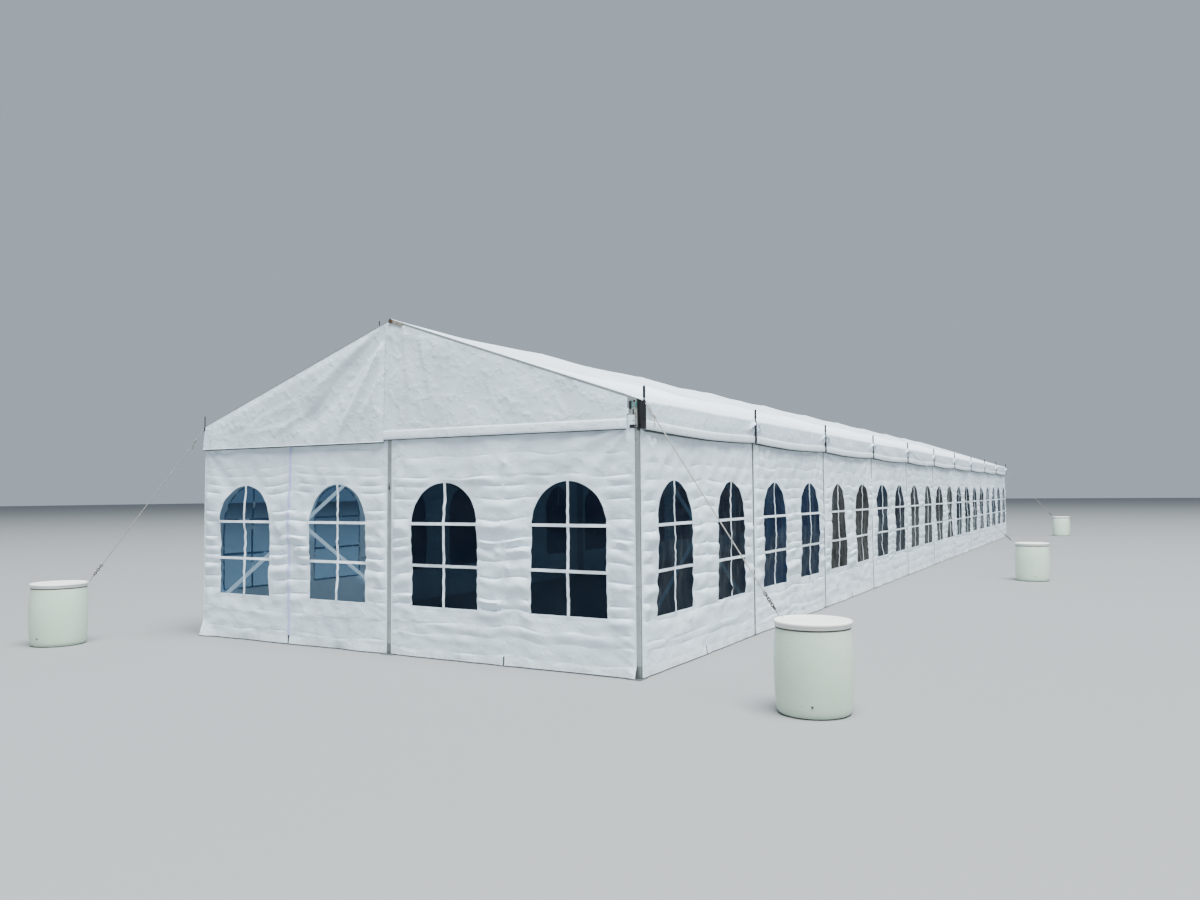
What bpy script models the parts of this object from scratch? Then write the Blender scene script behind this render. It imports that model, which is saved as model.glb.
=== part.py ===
"""Clear-span marquee tent: portal arches, PVC roof and walls, guy ropes and water-filled drums.

Metres, +Z up, +Y along the ridge, away from the near gable, and +X towards the right-hand side.
The origin is on the ground under the middle of the ridge.
"""
import math

import bmesh
import bpy
from mathutils import Matrix, Vector

# Tent body
SPAN = 6.0                    # across the gable, over the outer faces of the legs
BAY_LENGTH = 3.0              # along the side, from arch to arch
BAY_COUNT = 10
EAVE_HEIGHT = 2.57            # top of a rafter above the outer face of its leg
RIDGE_HEIGHT = 3.60           # top of the rafters under the ridge

# Arch frames and gable posts
PROFILE_WIDTH = 0.060         # of legs, rafters and posts, along the tent
LEG_DEPTH = 0.100             # across the tent
RAFTER_DEPTH = 0.100          # square to the roof slope
RIDGE_SPLICE_HALF = 0.200     # half length of the flat stiffener under the ridge
POST_WIDTH = 0.045            # of a gable post, across the tent
FOOT_PLATE_SIDE = 0.150
FOOT_PLATE_THICKNESS = 0.008
SHOE_HEIGHT = 0.120
SHOE_PROUD = 0.006            # how far a shoe stands out of the face of its leg
SHOE_SIDE_GAP = 0.001         # between a shoe and the wall panels beside it
BRACKET_REACH = 0.050         # middle of the pin socket beyond the face of its leg
BRACKET_THICKNESS = 0.012
BRACKET_HEIGHT = 0.050
BRACKET_DROP = 0.015          # top of the bracket below the eave
BRACKET_ROOT = 0.020          # depth that a bracket is let into its leg
PIN_DIAMETER = 0.016          # upright pin on each eave bracket
PIN_TOP = 0.120               # above the eave
PIN_SIDES = 8
SOCKET_DIAMETER = 0.026       # round end of the bracket, which holds the pin and the rope
SOCKET_SIDES = 12
SOCKET_LIP = 0.002            # of the socket above and below its plate

# Purlins and wall bracing
PURLIN_SIDE = 0.050
PURLIN_DROP = 0.012           # of an eave purlin below the rafters
BRACE_WIDTH = 0.050
BRACE_THICKNESS = 0.008
BRACE_TOP = 2.30
BRACE_BOTTOM = 0.32

# Fabric
FABRIC_THICKNESS = 0.005
FILM_THICKNESS = 0.0015
CLEARANCE = 0.0003            # between pieces that touch
ROOF_SLOT = 0.040             # bare rafter between two roof panels
WALL_SLOT = 0.050             # bare leg between two wall panels
CORNER_STRIP = 0.012          # bare corner leg beside each wall panel
GABLE_EDGE_STRIP = 0.015      # roof panel stops this far short of the gable plane
VALANCE_BOTTOM = 2.29
VALANCE_PROUD = 0.045         # outer face of the valance beyond the face of the legs
EAVE_FOLD_RADIUS = 0.035
EAVE_FOLD_STEPS = 4
HEM_HEIGHT = 0.085
HEM_PROUD = 0.008
WALL_TUCK = 0.130             # how far a wall runs up behind the valance
WALL_BAND = 0.060             # height of the hem that joins the bay panels of a wall
WALL_GROUND_GAP = 0.012
GABLE_TOP_SIDE_GAP = 0.005    # gable top beside the leg's inner edge
GABLE_TOP_INSET = 0.020       # gable top below the upper edge of the rafter
GABLE_TOP_LEAN = 0.030        # how far its hem stands out from the rafter's face

# Windows
WINDOWS_PER_BAY = 2
WINDOW_WIDTH = 0.85
WINDOW_SILL = 0.535
WINDOW_SPRING = 1.395
WINDOW_ARC_STEPS = 8
FILM_LAP = 0.030              # of the film behind the edge of a window
FILM_RIBBON = 0.030           # height of the strip that joins the panes of a wall

# Guy ropes and drums
ROPE_DIAMETER = 0.010
ROPE_SIDES = 6
ROPE_TIP_DIAMETER = 0.004     # where the rope meets its bracket and its drum
DOUBLED_LENGTH = 0.160        # where the rope is doubled below its bracket
DOUBLED_DIAMETER = 0.018
KNOT_DIAMETER = 0.030
KNOT_LENGTH = 0.024
TENSIONER_DIAMETER = 0.036
TENSIONER_LENGTH = 0.130
TENSIONER_FROM_DRUM = 0.130
ROPE_TAPER = 0.006            # between two thicknesses of a rope
ROPE_TIP_TAPER = 0.018        # from the tip of a rope to its doubled length
DRUM_DIAMETER = 0.60          # at the middle of its height
DRUM_FOOT_DIAMETER = 0.556
DRUM_NECK_DIAMETER = 0.574
DRUM_HEIGHT = 0.71
LID_DIAMETER = 0.60
LID_BAND = 0.045
LID_EDGE = 0.008              # chamfer on the lid's upper edge
DRUM_FOOT_CHAMFER = 0.014
DRUM_BODY_STEPS = 4
DRUM_SIDES = 16

# One line for each guy rope: name, side of the tent, arch, drum's distance out from the
# side, and its distance along the tent from the arch
GUYS = (
    ("near_right", 1, 0, 1.75, -0.52),
    ("near_left", -1, 0, 0.95, -1.25),
    ("mid_right", 1, 4, 2.33, -0.27),
    ("mid_left", -1, 4, 2.33, -0.27),
    ("far_right", 1, BAY_COUNT, 1.78, 1.25),
    ("far_left", -1, BAY_COUNT, 0.95, 1.25),
)

half_span = SPAN / 2
half_length = BAY_LENGTH * BAY_COUNT / 2
roof_fall = (RIDGE_HEIGHT - EAVE_HEIGHT) / half_span
roof_angle = math.atan(roof_fall)
film_plane = CLEARANCE
fabric_plane = film_plane + FILM_THICKNESS + CLEARANCE
wall_top = VALANCE_BOTTOM + WALL_TUCK


def clear_scene():
    for thing in list(bpy.data.objects):
        bpy.data.objects.remove(thing, do_unlink=True)


def material(name, colour, roughness, metallic=0.0):
    finish = bpy.data.materials.new(name)
    finish.use_nodes = True
    shader = finish.node_tree.nodes["Principled BSDF"]
    shader.inputs["Base Color"].default_value = (*colour, 1.0)
    shader.inputs["Roughness"].default_value = roughness
    shader.inputs["Metallic"].default_value = metallic
    return finish


def add_object(name, mesh, finish, location=(0.0, 0.0, 0.0), turn=None):
    thing = bpy.data.objects.new(name, mesh)
    bpy.context.collection.objects.link(thing)
    thing.location = location
    if turn is not None:
        thing.rotation_euler = turn.to_euler()
    if finish is not None and not mesh.materials:
        mesh.materials.append(finish)
    return thing


def finished_mesh(name, bm):
    bmesh.ops.recalc_face_normals(bm, faces=bm.faces[:])
    mesh = bpy.data.meshes.new(name)
    bm.to_mesh(mesh)
    bm.free()
    return mesh


def slab_mesh(name, outline, thickness, holes=()):
    """Flat plate with holes, drawn in XY and thickened along +Z."""
    bm = bmesh.new()
    for loop in (outline, *holes):
        corners = [bm.verts.new((across, up, 0.0)) for across, up in loop]
        for corner, following in zip(corners, corners[1:] + corners[:1]):
            bm.edges.new((corner, following))
    bmesh.ops.triangle_fill(bm, use_beauty=True, edges=bm.edges[:])
    grown = bmesh.ops.extrude_face_region(bm, geom=bm.faces[:], use_keep_orig=True)
    raised = [item for item in grown["geom"] if isinstance(item, bmesh.types.BMVert)]
    bmesh.ops.translate(bm, verts=raised, vec=(0.0, 0.0, thickness))
    return finished_mesh(name, bm)


def box_mesh(name, low, high):
    bm = bmesh.new()
    bmesh.ops.create_cube(bm, size=1.0)
    middle = (Vector(low) + Vector(high)) / 2
    size = Vector(high) - Vector(low)
    bm.transform(Matrix.Translation(middle) @ Matrix.Diagonal((*size, 1.0)))
    return finished_mesh(name, bm)


def turned_mesh(name, profile, sides):
    """Solid of revolution about Z, from a profile of (radius, height) that starts at the bottom."""
    bm = bmesh.new()
    rings = []
    for radius, height in profile:
        ring = []
        for index in range(sides):
            angle = 2 * math.pi * (index + 0.5) / sides
            ring.append(bm.verts.new((radius * math.cos(angle), radius * math.sin(angle), height)))
        rings.append(ring)
    for lower, upper in zip(rings, rings[1:]):
        for index in range(sides):
            following = (index + 1) % sides
            bm.faces.new((lower[index], lower[following], upper[following], upper[index]))
    bm.faces.new(rings[0])
    bm.faces.new(rings[-1])
    return finished_mesh(name, bm)


def joined_mesh(name, meshes):
    """One closed body from several overlapping ones."""
    things = [add_object(f"{name}_piece_{index}", mesh, None) for index, mesh in enumerate(meshes)]
    base = things[0]
    for other in things[1:]:
        union = base.modifiers.new("union", "BOOLEAN")
        union.operation = "UNION"
        union.object = other
    bpy.context.view_layer.update()
    evaluated = base.evaluated_get(bpy.context.evaluated_depsgraph_get())
    mesh = bpy.data.meshes.new_from_object(evaluated)
    mesh.name = name
    for thing in things:
        bpy.data.objects.remove(thing, do_unlink=True)
    return mesh


def rafter_top(across):
    """Height of the rafters' upper face at a distance from the ridge line."""
    return RIDGE_HEIGHT - roof_fall * abs(across)


def rafter_underside(across):
    return rafter_top(across) - RAFTER_DEPTH / math.cos(roof_angle)


def arch_position(index):
    """Middle of an arch along the tent; the end arches stand inside the gable planes."""
    if index == 0:
        return -half_length + PROFILE_WIDTH / 2
    if index == BAY_COUNT:
        return half_length - PROFILE_WIDTH / 2
    return -half_length + index * BAY_LENGTH


def portal_outline():
    """Legs and rafters as one outline in the plane of the arch."""
    inner = half_span - LEG_DEPTH
    sole = FOOT_PLATE_THICKNESS / 2
    splice = rafter_underside(RIDGE_SPLICE_HALF)
    return (
        (half_span, sole), (half_span, EAVE_HEIGHT), (0.0, RIDGE_HEIGHT),
        (-half_span, EAVE_HEIGHT), (-half_span, sole), (-inner, sole),
        (-inner, rafter_underside(inner)), (-RIDGE_SPLICE_HALF, splice),
        (RIDGE_SPLICE_HALF, splice), (inner, rafter_underside(inner)), (inner, sole),
    )


def stand_up(mesh):
    """Turn a plate drawn in XY upright into the XZ plane, with its middle on Y = 0."""
    depth = max(corner.co.z for corner in mesh.vertices)
    mesh.transform(Matrix.Rotation(math.pi / 2, 4, "X") @ Matrix.Translation((0, 0, -depth / 2)))
    return mesh


def mirrored_box(name, low, high, side):
    """A box given for the +X side, or its mirror image on the -X side."""
    if side > 0:
        return box_mesh(name, low, high)
    return box_mesh(name, (-high[0], low[1], low[2]), (-low[0], high[1], high[2]))


def foot_plate(side):
    middle = half_span - LEG_DEPTH / 2
    reach = FOOT_PLATE_SIDE / 2
    return mirrored_box(
        "foot_plate", (middle - reach, -reach, 0.0),
        (middle + reach, reach, FOOT_PLATE_THICKNESS), side)


def shoe(side):
    reach = WALL_SLOT / 2 - SHOE_SIDE_GAP
    return mirrored_box(
        "shoe", (half_span - BRACKET_ROOT, -reach, FOOT_PLATE_THICKNESS / 2),
        (half_span + SHOE_PROUD, reach, SHOE_HEIGHT), side)


def eave_bracket(side):
    top = EAVE_HEIGHT - BRACKET_DROP
    return mirrored_box(
        "eave_bracket", (half_span - BRACKET_ROOT, -BRACKET_THICKNESS / 2, top - BRACKET_HEIGHT),
        (half_span + BRACKET_REACH, BRACKET_THICKNESS / 2, top), side)


def eave_post(name, diameter, low, high, sides, side):
    """Upright round bar at the outer end of an eave bracket."""
    mesh = turned_mesh(name, ((diameter / 2, low), (diameter / 2, high)), sides)
    mesh.transform(Matrix.Translation((side * (half_span + BRACKET_REACH), 0.0, 0.0)))
    return mesh


def pin_socket(side):
    """Slightly taller than its plate, so that no faces of the two coincide."""
    top = EAVE_HEIGHT - BRACKET_DROP
    low = top - BRACKET_HEIGHT - SOCKET_LIP
    high = top + SOCKET_LIP
    return eave_post("pin_socket", SOCKET_DIAMETER, low, high, SOCKET_SIDES, side)


def eave_pin(side):
    low = EAVE_HEIGHT - BRACKET_DROP - BRACKET_HEIGHT / 2
    return eave_post("eave_pin", PIN_DIAMETER, low, EAVE_HEIGHT + PIN_TOP, PIN_SIDES, side)


def arch_mesh(name, with_shoes):
    pieces = [stand_up(slab_mesh("portal", portal_outline(), PROFILE_WIDTH))]
    for side in (1, -1):
        pieces.append(foot_plate(side))
        if with_shoes:
            pieces.append(shoe(side))
        pieces.append(eave_bracket(side))
        pieces.append(pin_socket(side))
        pieces.append(eave_pin(side))
    return joined_mesh(name, pieces)


def build_arches(aluminium):
    end_arch = arch_mesh("end_arch", False)
    middle_arch = arch_mesh("middle_arch", True)
    for index in range(BAY_COUNT + 1):
        mesh = end_arch if index in (0, BAY_COUNT) else middle_arch
        add_object(f"arch_frame_{index + 1}", mesh, aluminium, (0.0, arch_position(index), 0.0))


def build_gable_posts(aluminium):
    top = rafter_underside(RIDGE_SPLICE_HALF) - CLEARANCE
    upright = box_mesh(
        "upright", (-POST_WIDTH / 2, -PROFILE_WIDTH / 2, FOOT_PLATE_THICKNESS / 2),
        (POST_WIDTH / 2, PROFILE_WIDTH / 2, top))
    reach = FOOT_PLATE_SIDE / 2
    sole = box_mesh("sole", (-reach, -reach, 0.0), (reach, reach, FOOT_PLATE_THICKNESS))
    mesh = joined_mesh("gable_post", [upright, sole])
    add_object("near_gable_post", mesh, aluminium, (0.0, arch_position(0), 0.0))
    add_object("far_gable_post", mesh, aluminium, (0.0, arch_position(BAY_COUNT), 0.0))


def build_purlins(aluminium):
    reach = half_length - PROFILE_WIDTH - CLEARANCE
    ridge_top = rafter_underside(RIDGE_SPLICE_HALF) - CLEARANCE
    ridge = box_mesh(
        "ridge_purlin", (-PURLIN_SIDE / 2, -reach, ridge_top - PURLIN_SIDE),
        (PURLIN_SIDE / 2, reach, ridge_top))
    add_object("ridge_purlin", ridge, aluminium)
    outer = half_span - LEG_DEPTH - CLEARANCE
    inner = outer - PURLIN_SIDE
    top = rafter_underside(outer) - PURLIN_DROP
    for name, side in (("right_eave_purlin", 1), ("left_eave_purlin", -1)):
        mesh = mirrored_box(
            name, (inner, -half_length, top - PURLIN_SIDE), (outer, half_length, top), side)
        add_object(name, mesh, aluminium)


def crossed_outline(width, height, bar):
    """Two crossing bars as one outline, with upright ends, in a frame centred on the crossing."""
    half_width = width / 2
    half_height = height / 2
    cut = bar / math.cos(math.atan2(height, width)) / 2
    rise = height / width
    waist = cut / rise
    return (
        (waist, 0.0), (half_width, half_height - cut), (half_width, half_height + cut),
        (0.0, cut), (-half_width, half_height + cut), (-half_width, half_height - cut),
        (-waist, 0.0), (-half_width, -half_height + cut), (-half_width, -half_height - cut),
        (0.0, -cut), (half_width, -half_height - cut), (half_width, -half_height + cut),
    )


def build_braces(aluminium):
    low = arch_position(0) + PROFILE_WIDTH / 2 + CLEARANCE
    high = arch_position(1) - PROFILE_WIDTH / 2 - CLEARANCE
    outline = crossed_outline(high - low, BRACE_TOP - BRACE_BOTTOM, BRACE_WIDTH)
    mesh = stand_up(slab_mesh("wall_brace", outline, BRACE_THICKNESS))
    mesh.transform(Matrix.Rotation(math.pi / 2, 4, "Z"))
    across = half_span - LEG_DEPTH / 2
    height = (BRACE_TOP + BRACE_BOTTOM) / 2
    along = (high + low) / 2
    for name, side, end in (
            ("near_right_brace", 1, 1), ("near_left_brace", -1, 1),
            ("far_right_brace", 1, -1), ("far_left_brace", -1, -1)):
        add_object(name, mesh, aluminium, (side * across, end * along, height))


def roof_fold():
    """Function that gives the points of the eave fold, as (across, height), at one radius."""
    lift = (CLEARANCE + FABRIC_THICKNESS) / math.cos(roof_angle)
    across = half_span + VALANCE_PROUD - EAVE_FOLD_RADIUS
    height = rafter_top(across) + lift - EAVE_FOLD_RADIUS / math.cos(roof_angle)

    def points(radius):
        start = math.pi / 2 - roof_angle
        for step in range(EAVE_FOLD_STEPS + 1):
            angle = start * (1 - step / EAVE_FOLD_STEPS)
            yield across + radius * math.cos(angle), height + radius * math.sin(angle)

    return points


def roof_section():
    """Half of a roof panel's section, from the ridge to the hem: outer and inner points."""
    fold = roof_fold()
    hem_top = VALANCE_BOTTOM + HEM_HEIGHT
    outer_face = half_span + VALANCE_PROUD
    inner_face = outer_face - FABRIC_THICKNESS
    proud_face = outer_face + HEM_PROUD
    lift = CLEARANCE / math.cos(roof_angle)
    skin = FABRIC_THICKNESS / math.cos(roof_angle)
    outer = [(0.0, RIDGE_HEIGHT + lift + skin)]
    outer += list(fold(EAVE_FOLD_RADIUS))
    outer += [(outer_face, hem_top), (proud_face, hem_top - HEM_PROUD),
              (proud_face, VALANCE_BOTTOM + HEM_PROUD), (outer_face, VALANCE_BOTTOM)]
    inner = [(0.0, RIDGE_HEIGHT + lift)]
    inner += list(fold(EAVE_FOLD_RADIUS - FABRIC_THICKNESS))
    inner += [(inner_face, hem_top), (inner_face, hem_top - HEM_PROUD),
              (inner_face, VALANCE_BOTTOM + HEM_PROUD), (inner_face, VALANCE_BOTTOM)]
    return outer, inner


def roof_panel_mesh(name, slope_ends, valance_ends):
    """A panel over the ridge, with the ends of its slopes and of its valances along the tent."""
    outer, inner = roof_section()
    outer = [(-across, height) for across, height in outer[:0:-1]] + outer
    inner = [(-across, height) for across, height in inner[:0:-1]] + inner
    first_slope = len(outer) // 2 - 1
    bm = bmesh.new()
    rings = []
    for index, (out_point, in_point) in enumerate(zip(outer, inner)):
        on_slope = first_slope <= index <= first_slope + 2
        near, far = slope_ends if on_slope else valance_ends
        rings.append([
            bm.verts.new((out_point[0], near, out_point[1])),
            bm.verts.new((out_point[0], far, out_point[1])),
            bm.verts.new((in_point[0], far, in_point[1])),
            bm.verts.new((in_point[0], near, in_point[1])),
        ])
    for ring, following in zip(rings, rings[1:]):
        for index in range(4):
            after = (index + 1) % 4
            bm.faces.new((ring[index], ring[after], following[after], following[index]))
    bm.faces.new(rings[0])
    bm.faces.new(rings[-1])
    return finished_mesh(name, bm)


def build_roof(roof_fabric):
    for bay in range(BAY_COUNT):
        low = -half_length + bay * BAY_LENGTH
        high = low + BAY_LENGTH
        slope_low, slope_high = low + ROOF_SLOT / 2, high - ROOF_SLOT / 2
        edge_low, edge_high = low + WALL_SLOT / 2, high - WALL_SLOT / 2
        if bay == 0:
            slope_low = low + GABLE_EDGE_STRIP
            edge_low = low + PROFILE_WIDTH
        if bay == BAY_COUNT - 1:
            slope_high = high - GABLE_EDGE_STRIP
            edge_high = high - PROFILE_WIDTH
        mesh = roof_panel_mesh("roof_panel", (slope_low, slope_high), (edge_low, edge_high))
        add_object(f"roof_panel_{bay + 1}", mesh, roof_fabric)


def window_outline(middle):
    """Arched window, counted from the foot of its left jamb."""
    radius = WINDOW_WIDTH / 2
    outline = [(middle - radius, WINDOW_SILL), (middle + radius, WINDOW_SILL)]
    for step in range(WINDOW_ARC_STEPS + 1):
        angle = math.pi * step / WINDOW_ARC_STEPS
        outline.append((middle + radius * math.cos(angle), WINDOW_SPRING + radius * math.sin(angle)))
    return outline


def window_middles(low, bay_length):
    return [low + bay_length * (index + 0.5) / WINDOWS_PER_BAY for index in range(WINDOWS_PER_BAY)]


def side_wall_outline():
    """Bay panels of a long side, hanging from one hem, with a slot at each leg."""
    low_end = -half_length + CORNER_STRIP
    high_end = half_length - CORNER_STRIP
    outline = [(high_end, WALL_GROUND_GAP), (high_end, wall_top), (low_end, wall_top),
               (low_end, WALL_GROUND_GAP)]
    band = wall_top - WALL_BAND
    for index in range(1, BAY_COUNT):
        leg = arch_position(index)
        outline += [(leg - WALL_SLOT / 2, WALL_GROUND_GAP), (leg - WALL_SLOT / 2, band),
                    (leg + WALL_SLOT / 2, band), (leg + WALL_SLOT / 2, WALL_GROUND_GAP)]
    return outline


def film_outline(middles):
    """Panes of one wall, standing on the ribbon that joins them."""
    half_pane = WINDOW_WIDTH / 2 + FILM_LAP
    low = WINDOW_SILL - FILM_LAP
    ribbon = low + FILM_RIBBON
    high = WINDOW_SPRING + WINDOW_WIDTH / 2 + FILM_LAP
    outline = [(middles[-1] + half_pane, low)]
    for middle in reversed(middles):
        outline += [(middle + half_pane, high), (middle - half_pane, high)]
        if middle != middles[0]:
            following = middles[middles.index(middle) - 1]
            outline += [(middle - half_pane, ribbon), (following + half_pane, ribbon)]
    outline.append((middles[0] - half_pane, low))
    return outline


def place_on_side(mesh, side, plane):
    """Stand a plate drawn along the tent against the long side, out from the face of the legs."""
    depth = max(corner.co.z for corner in mesh.vertices)
    upright = Matrix(((0, 0, 1, 0), (1, 0, 0, 0), (0, 1, 0, 0), (0, 0, 0, 1)))
    across = half_span + plane if side > 0 else -half_span - plane - depth
    mesh.transform(Matrix.Translation((across, 0.0, 0.0)) @ upright)
    return mesh


def place_on_gable(mesh, end, plane):
    """Stand a plate drawn across the tent against a gable, out from the gable plane."""
    depth = max(corner.co.z for corner in mesh.vertices)
    upright = Matrix(((1, 0, 0, 0), (0, 0, 1, 0), (0, 1, 0, 0), (0, 0, 0, 1)))
    along = half_length + plane if end > 0 else -half_length - plane - depth
    mesh.transform(Matrix.Translation((0.0, along, 0.0)) @ upright)
    return mesh


def mesh_facing_out(mesh):
    """Faces turned outwards again after a plate is stood up."""
    bm = bmesh.new()
    bm.from_mesh(mesh)
    bmesh.ops.recalc_face_normals(bm, faces=bm.faces[:])
    bm.to_mesh(mesh)
    bm.free()
    return mesh


def build_side_walls(wall_fabric, film):
    middles = []
    for bay in range(BAY_COUNT):
        middles += window_middles(-half_length + bay * BAY_LENGTH, BAY_LENGTH)
    windows = [window_outline(middle) for middle in middles]
    for name, side in (("right", 1), ("left", -1)):
        wall = slab_mesh(f"{name}_side_wall", side_wall_outline(), FABRIC_THICKNESS, windows)
        wall = mesh_facing_out(place_on_side(wall, side, fabric_plane))
        add_object(f"{name}_side_wall", wall, wall_fabric)
        panes = slab_mesh(f"{name}_side_film", film_outline(middles), FILM_THICKNESS)
        panes = mesh_facing_out(place_on_side(panes, side, film_plane))
        add_object(f"{name}_side_film", panes, film)


def build_gable_walls(wall_fabric, film):
    middles = window_middles(-half_span, half_span) + window_middles(0.0, half_span)
    inner = WALL_SLOT / 2 - FABRIC_THICKNESS
    outer = half_span - CORNER_STRIP
    for end_name, end in (("near", -1), ("far", 1)):
        for side_name, low, high in (("right", inner, outer), ("left", -outer, -inner)):
            name = f"{end_name}_gable_wall_{side_name}"
            outline = ((low, WALL_GROUND_GAP), (high, WALL_GROUND_GAP), (high, wall_top), (low, wall_top))
            windows = [window_outline(middle) for middle in middles if low < middle < high]
            wall = slab_mesh(name, outline, FABRIC_THICKNESS, windows)
            wall = mesh_facing_out(place_on_gable(wall, end, fabric_plane))
            add_object(name, wall, wall_fabric)
        panes = slab_mesh(f"{end_name}_gable_film", film_outline(middles), FILM_THICKNESS)
        panes = mesh_facing_out(place_on_gable(panes, end, film_plane))
        add_object(f"{end_name}_gable_film", panes, film)


def gable_top_mesh(end):
    """Fabric between the hem line and the rafters, leaning out to a thicker hem."""
    side = half_span - LEG_DEPTH - GABLE_TOP_SIDE_GAP
    rafter_face = half_length + CLEARANCE
    hem_face = rafter_face + GABLE_TOP_LEAN
    shoulder = rafter_top(side) - GABLE_TOP_INSET
    outline = (
        (-side, hem_face, VALANCE_BOTTOM), (side, hem_face, VALANCE_BOTTOM),
        (side, rafter_face, shoulder), (0.0, rafter_face, RIDGE_HEIGHT - GABLE_TOP_INSET),
        (-side, rafter_face, shoulder),
    )
    bm = bmesh.new()
    back = [bm.verts.new((across, end * along, height)) for across, along, height in outline]
    front = [
        bm.verts.new((across, end * (along + FABRIC_THICKNESS), height))
        for across, along, height in outline]
    for face in ((0, 1, 3), (1, 2, 3), (0, 3, 4)):
        bm.faces.new([back[index] for index in face])
        bm.faces.new([front[index] for index in face])
    for index in range(len(outline)):
        after = (index + 1) % len(outline)
        bm.faces.new((back[index], back[after], front[after], front[index]))
    sheet = finished_mesh("gable_sheet", bm)
    low = hem_face + FABRIC_THICKNESS / 2
    high = hem_face + FABRIC_THICKNESS + HEM_PROUD
    inset = HEM_PROUD
    hem = box_mesh(
        "gable_hem", (-side + inset, min(end * low, end * high), VALANCE_BOTTOM - FABRIC_THICKNESS),
        (side - inset, max(end * low, end * high), VALANCE_BOTTOM + HEM_HEIGHT))
    return joined_mesh("gable_top", [sheet, hem])


def build_gable_tops(wall_fabric):
    for name, end in (("near_gable_top", -1), ("far_gable_top", 1)):
        add_object(name, gable_top_mesh(end), wall_fabric)


def drum_profile():
    """Drum with a bulged body, a neck under the lid and a banded lid, bottom to top."""
    foot = DRUM_FOOT_DIAMETER / 2
    neck = DRUM_NECK_DIAMETER / 2
    lid = LID_DIAMETER / 2
    lid_bottom = DRUM_HEIGHT - LID_BAND
    body_height = lid_bottom - LID_EDGE - DRUM_FOOT_CHAMFER
    bulge = DRUM_DIAMETER / 2 - (foot + neck) / 2
    profile = [(foot - DRUM_FOOT_CHAMFER, 0.0)]
    for step in range(DRUM_BODY_STEPS + 1):
        share = step / DRUM_BODY_STEPS
        radius = foot + (neck - foot) * share + bulge * math.sin(math.pi * share)
        profile.append((radius, DRUM_FOOT_CHAMFER + body_height * share))
    profile += [(lid, lid_bottom), (lid, DRUM_HEIGHT - LID_EDGE), (lid - LID_EDGE, DRUM_HEIGHT)]
    return profile


def rope_profile(length):
    """Doubled rope, knot, single rope, tensioner and tail, from the bracket to the drum."""
    tip = ROPE_TIP_DIAMETER / 2
    rope = ROPE_DIAMETER / 2
    doubled = DOUBLED_DIAMETER / 2
    knot = KNOT_DIAMETER / 2
    grip = TENSIONER_DIAMETER / 2
    knot_end = DOUBLED_LENGTH + KNOT_LENGTH
    grip_end = length - TENSIONER_FROM_DRUM
    grip_start = grip_end - TENSIONER_LENGTH
    return (
        (tip, 0.0), (doubled, ROPE_TIP_TAPER), (doubled, DOUBLED_LENGTH - ROPE_TAPER),
        (knot, DOUBLED_LENGTH), (knot, knot_end - ROPE_TAPER), (rope, knot_end),
        (rope, grip_start - ROPE_TAPER), (grip, grip_start), (grip, grip_end),
        (rope, grip_end + ROPE_TAPER), (rope, length - ROPE_TAPER), (tip, length),
    )


def seat_distance(direction, face_normal):
    """How far a rope's end stops before a face so that its rim just clears it."""
    along = abs(direction.dot(face_normal))
    across = math.sqrt(max(0.0, 1.0 - along * along))
    return (CLEARANCE + ROPE_TIP_DIAMETER / 2 * across) / along


def build_guys(rope_finish, plastic):
    drum = turned_mesh("ballast_drum", drum_profile(), DRUM_SIDES)
    lid_face = LID_DIAMETER / 2 * math.cos(math.pi / DRUM_SIDES)
    hook_height = DRUM_HEIGHT - LID_BAND / 2
    bracket_middle = EAVE_HEIGHT - BRACKET_DROP - BRACKET_HEIGHT / 2
    for name, side, arch, out, along in GUYS:
        centre = Vector((side * (half_span + out), arch_position(arch) + along, 0.0))
        socket = Vector((side * (half_span + BRACKET_REACH), arch_position(arch), bracket_middle))
        inward = Vector((socket.x - centre.x, socket.y - centre.y, 0.0)).normalized()
        hook = centre + inward * lid_face + Vector((0.0, 0.0, hook_height))
        top = socket - inward * SOCKET_DIAMETER / 2
        direction = (hook - top).normalized()
        start = top + direction * seat_distance(direction, inward)
        end = hook - direction * seat_distance(direction, inward)
        length = (end - start).length
        rope = turned_mesh("guy_rope", rope_profile(length), ROPE_SIDES)
        turn = direction.to_track_quat("Z", "Y")
        add_object(f"guy_rope_{name}", rope, rope_finish, start, turn)
        facing = Matrix.Rotation(math.atan2(inward.y, inward.x), 3, "Z").to_quaternion()
        add_object(f"ballast_drum_{name}", drum, plastic, centre, facing)


def main():
    clear_scene()
    aluminium = material("frame_aluminium", (0.42, 0.44, 0.44), 0.45, 1.0)
    roof_fabric = material("roof_fabric", (0.83, 0.86, 0.90), 0.40)
    wall_fabric = material("wall_fabric", (0.72, 0.76, 0.79), 0.45)
    film = material("window_film", (0.03, 0.05, 0.09), 0.15)
    rope_finish = material("guy_rope", (0.66, 0.65, 0.60), 0.85)
    plastic = material("drum_plastic", (0.60, 0.69, 0.62), 0.40)
    build_arches(aluminium)
    build_gable_posts(aluminium)
    build_purlins(aluminium)
    build_braces(aluminium)
    build_roof(roof_fabric)
    build_side_walls(wall_fabric, film)
    build_gable_walls(wall_fabric, film)
    build_gable_tops(wall_fabric)
    build_guys(rope_finish, plastic)


main()
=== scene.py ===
import math
import random

import bmesh
import bpy
import numpy as np
from mathutils import Matrix, Vector
from mathutils.geometry import delaunay_2d_cdt
from mathutils.kdtree import KDTree


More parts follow.
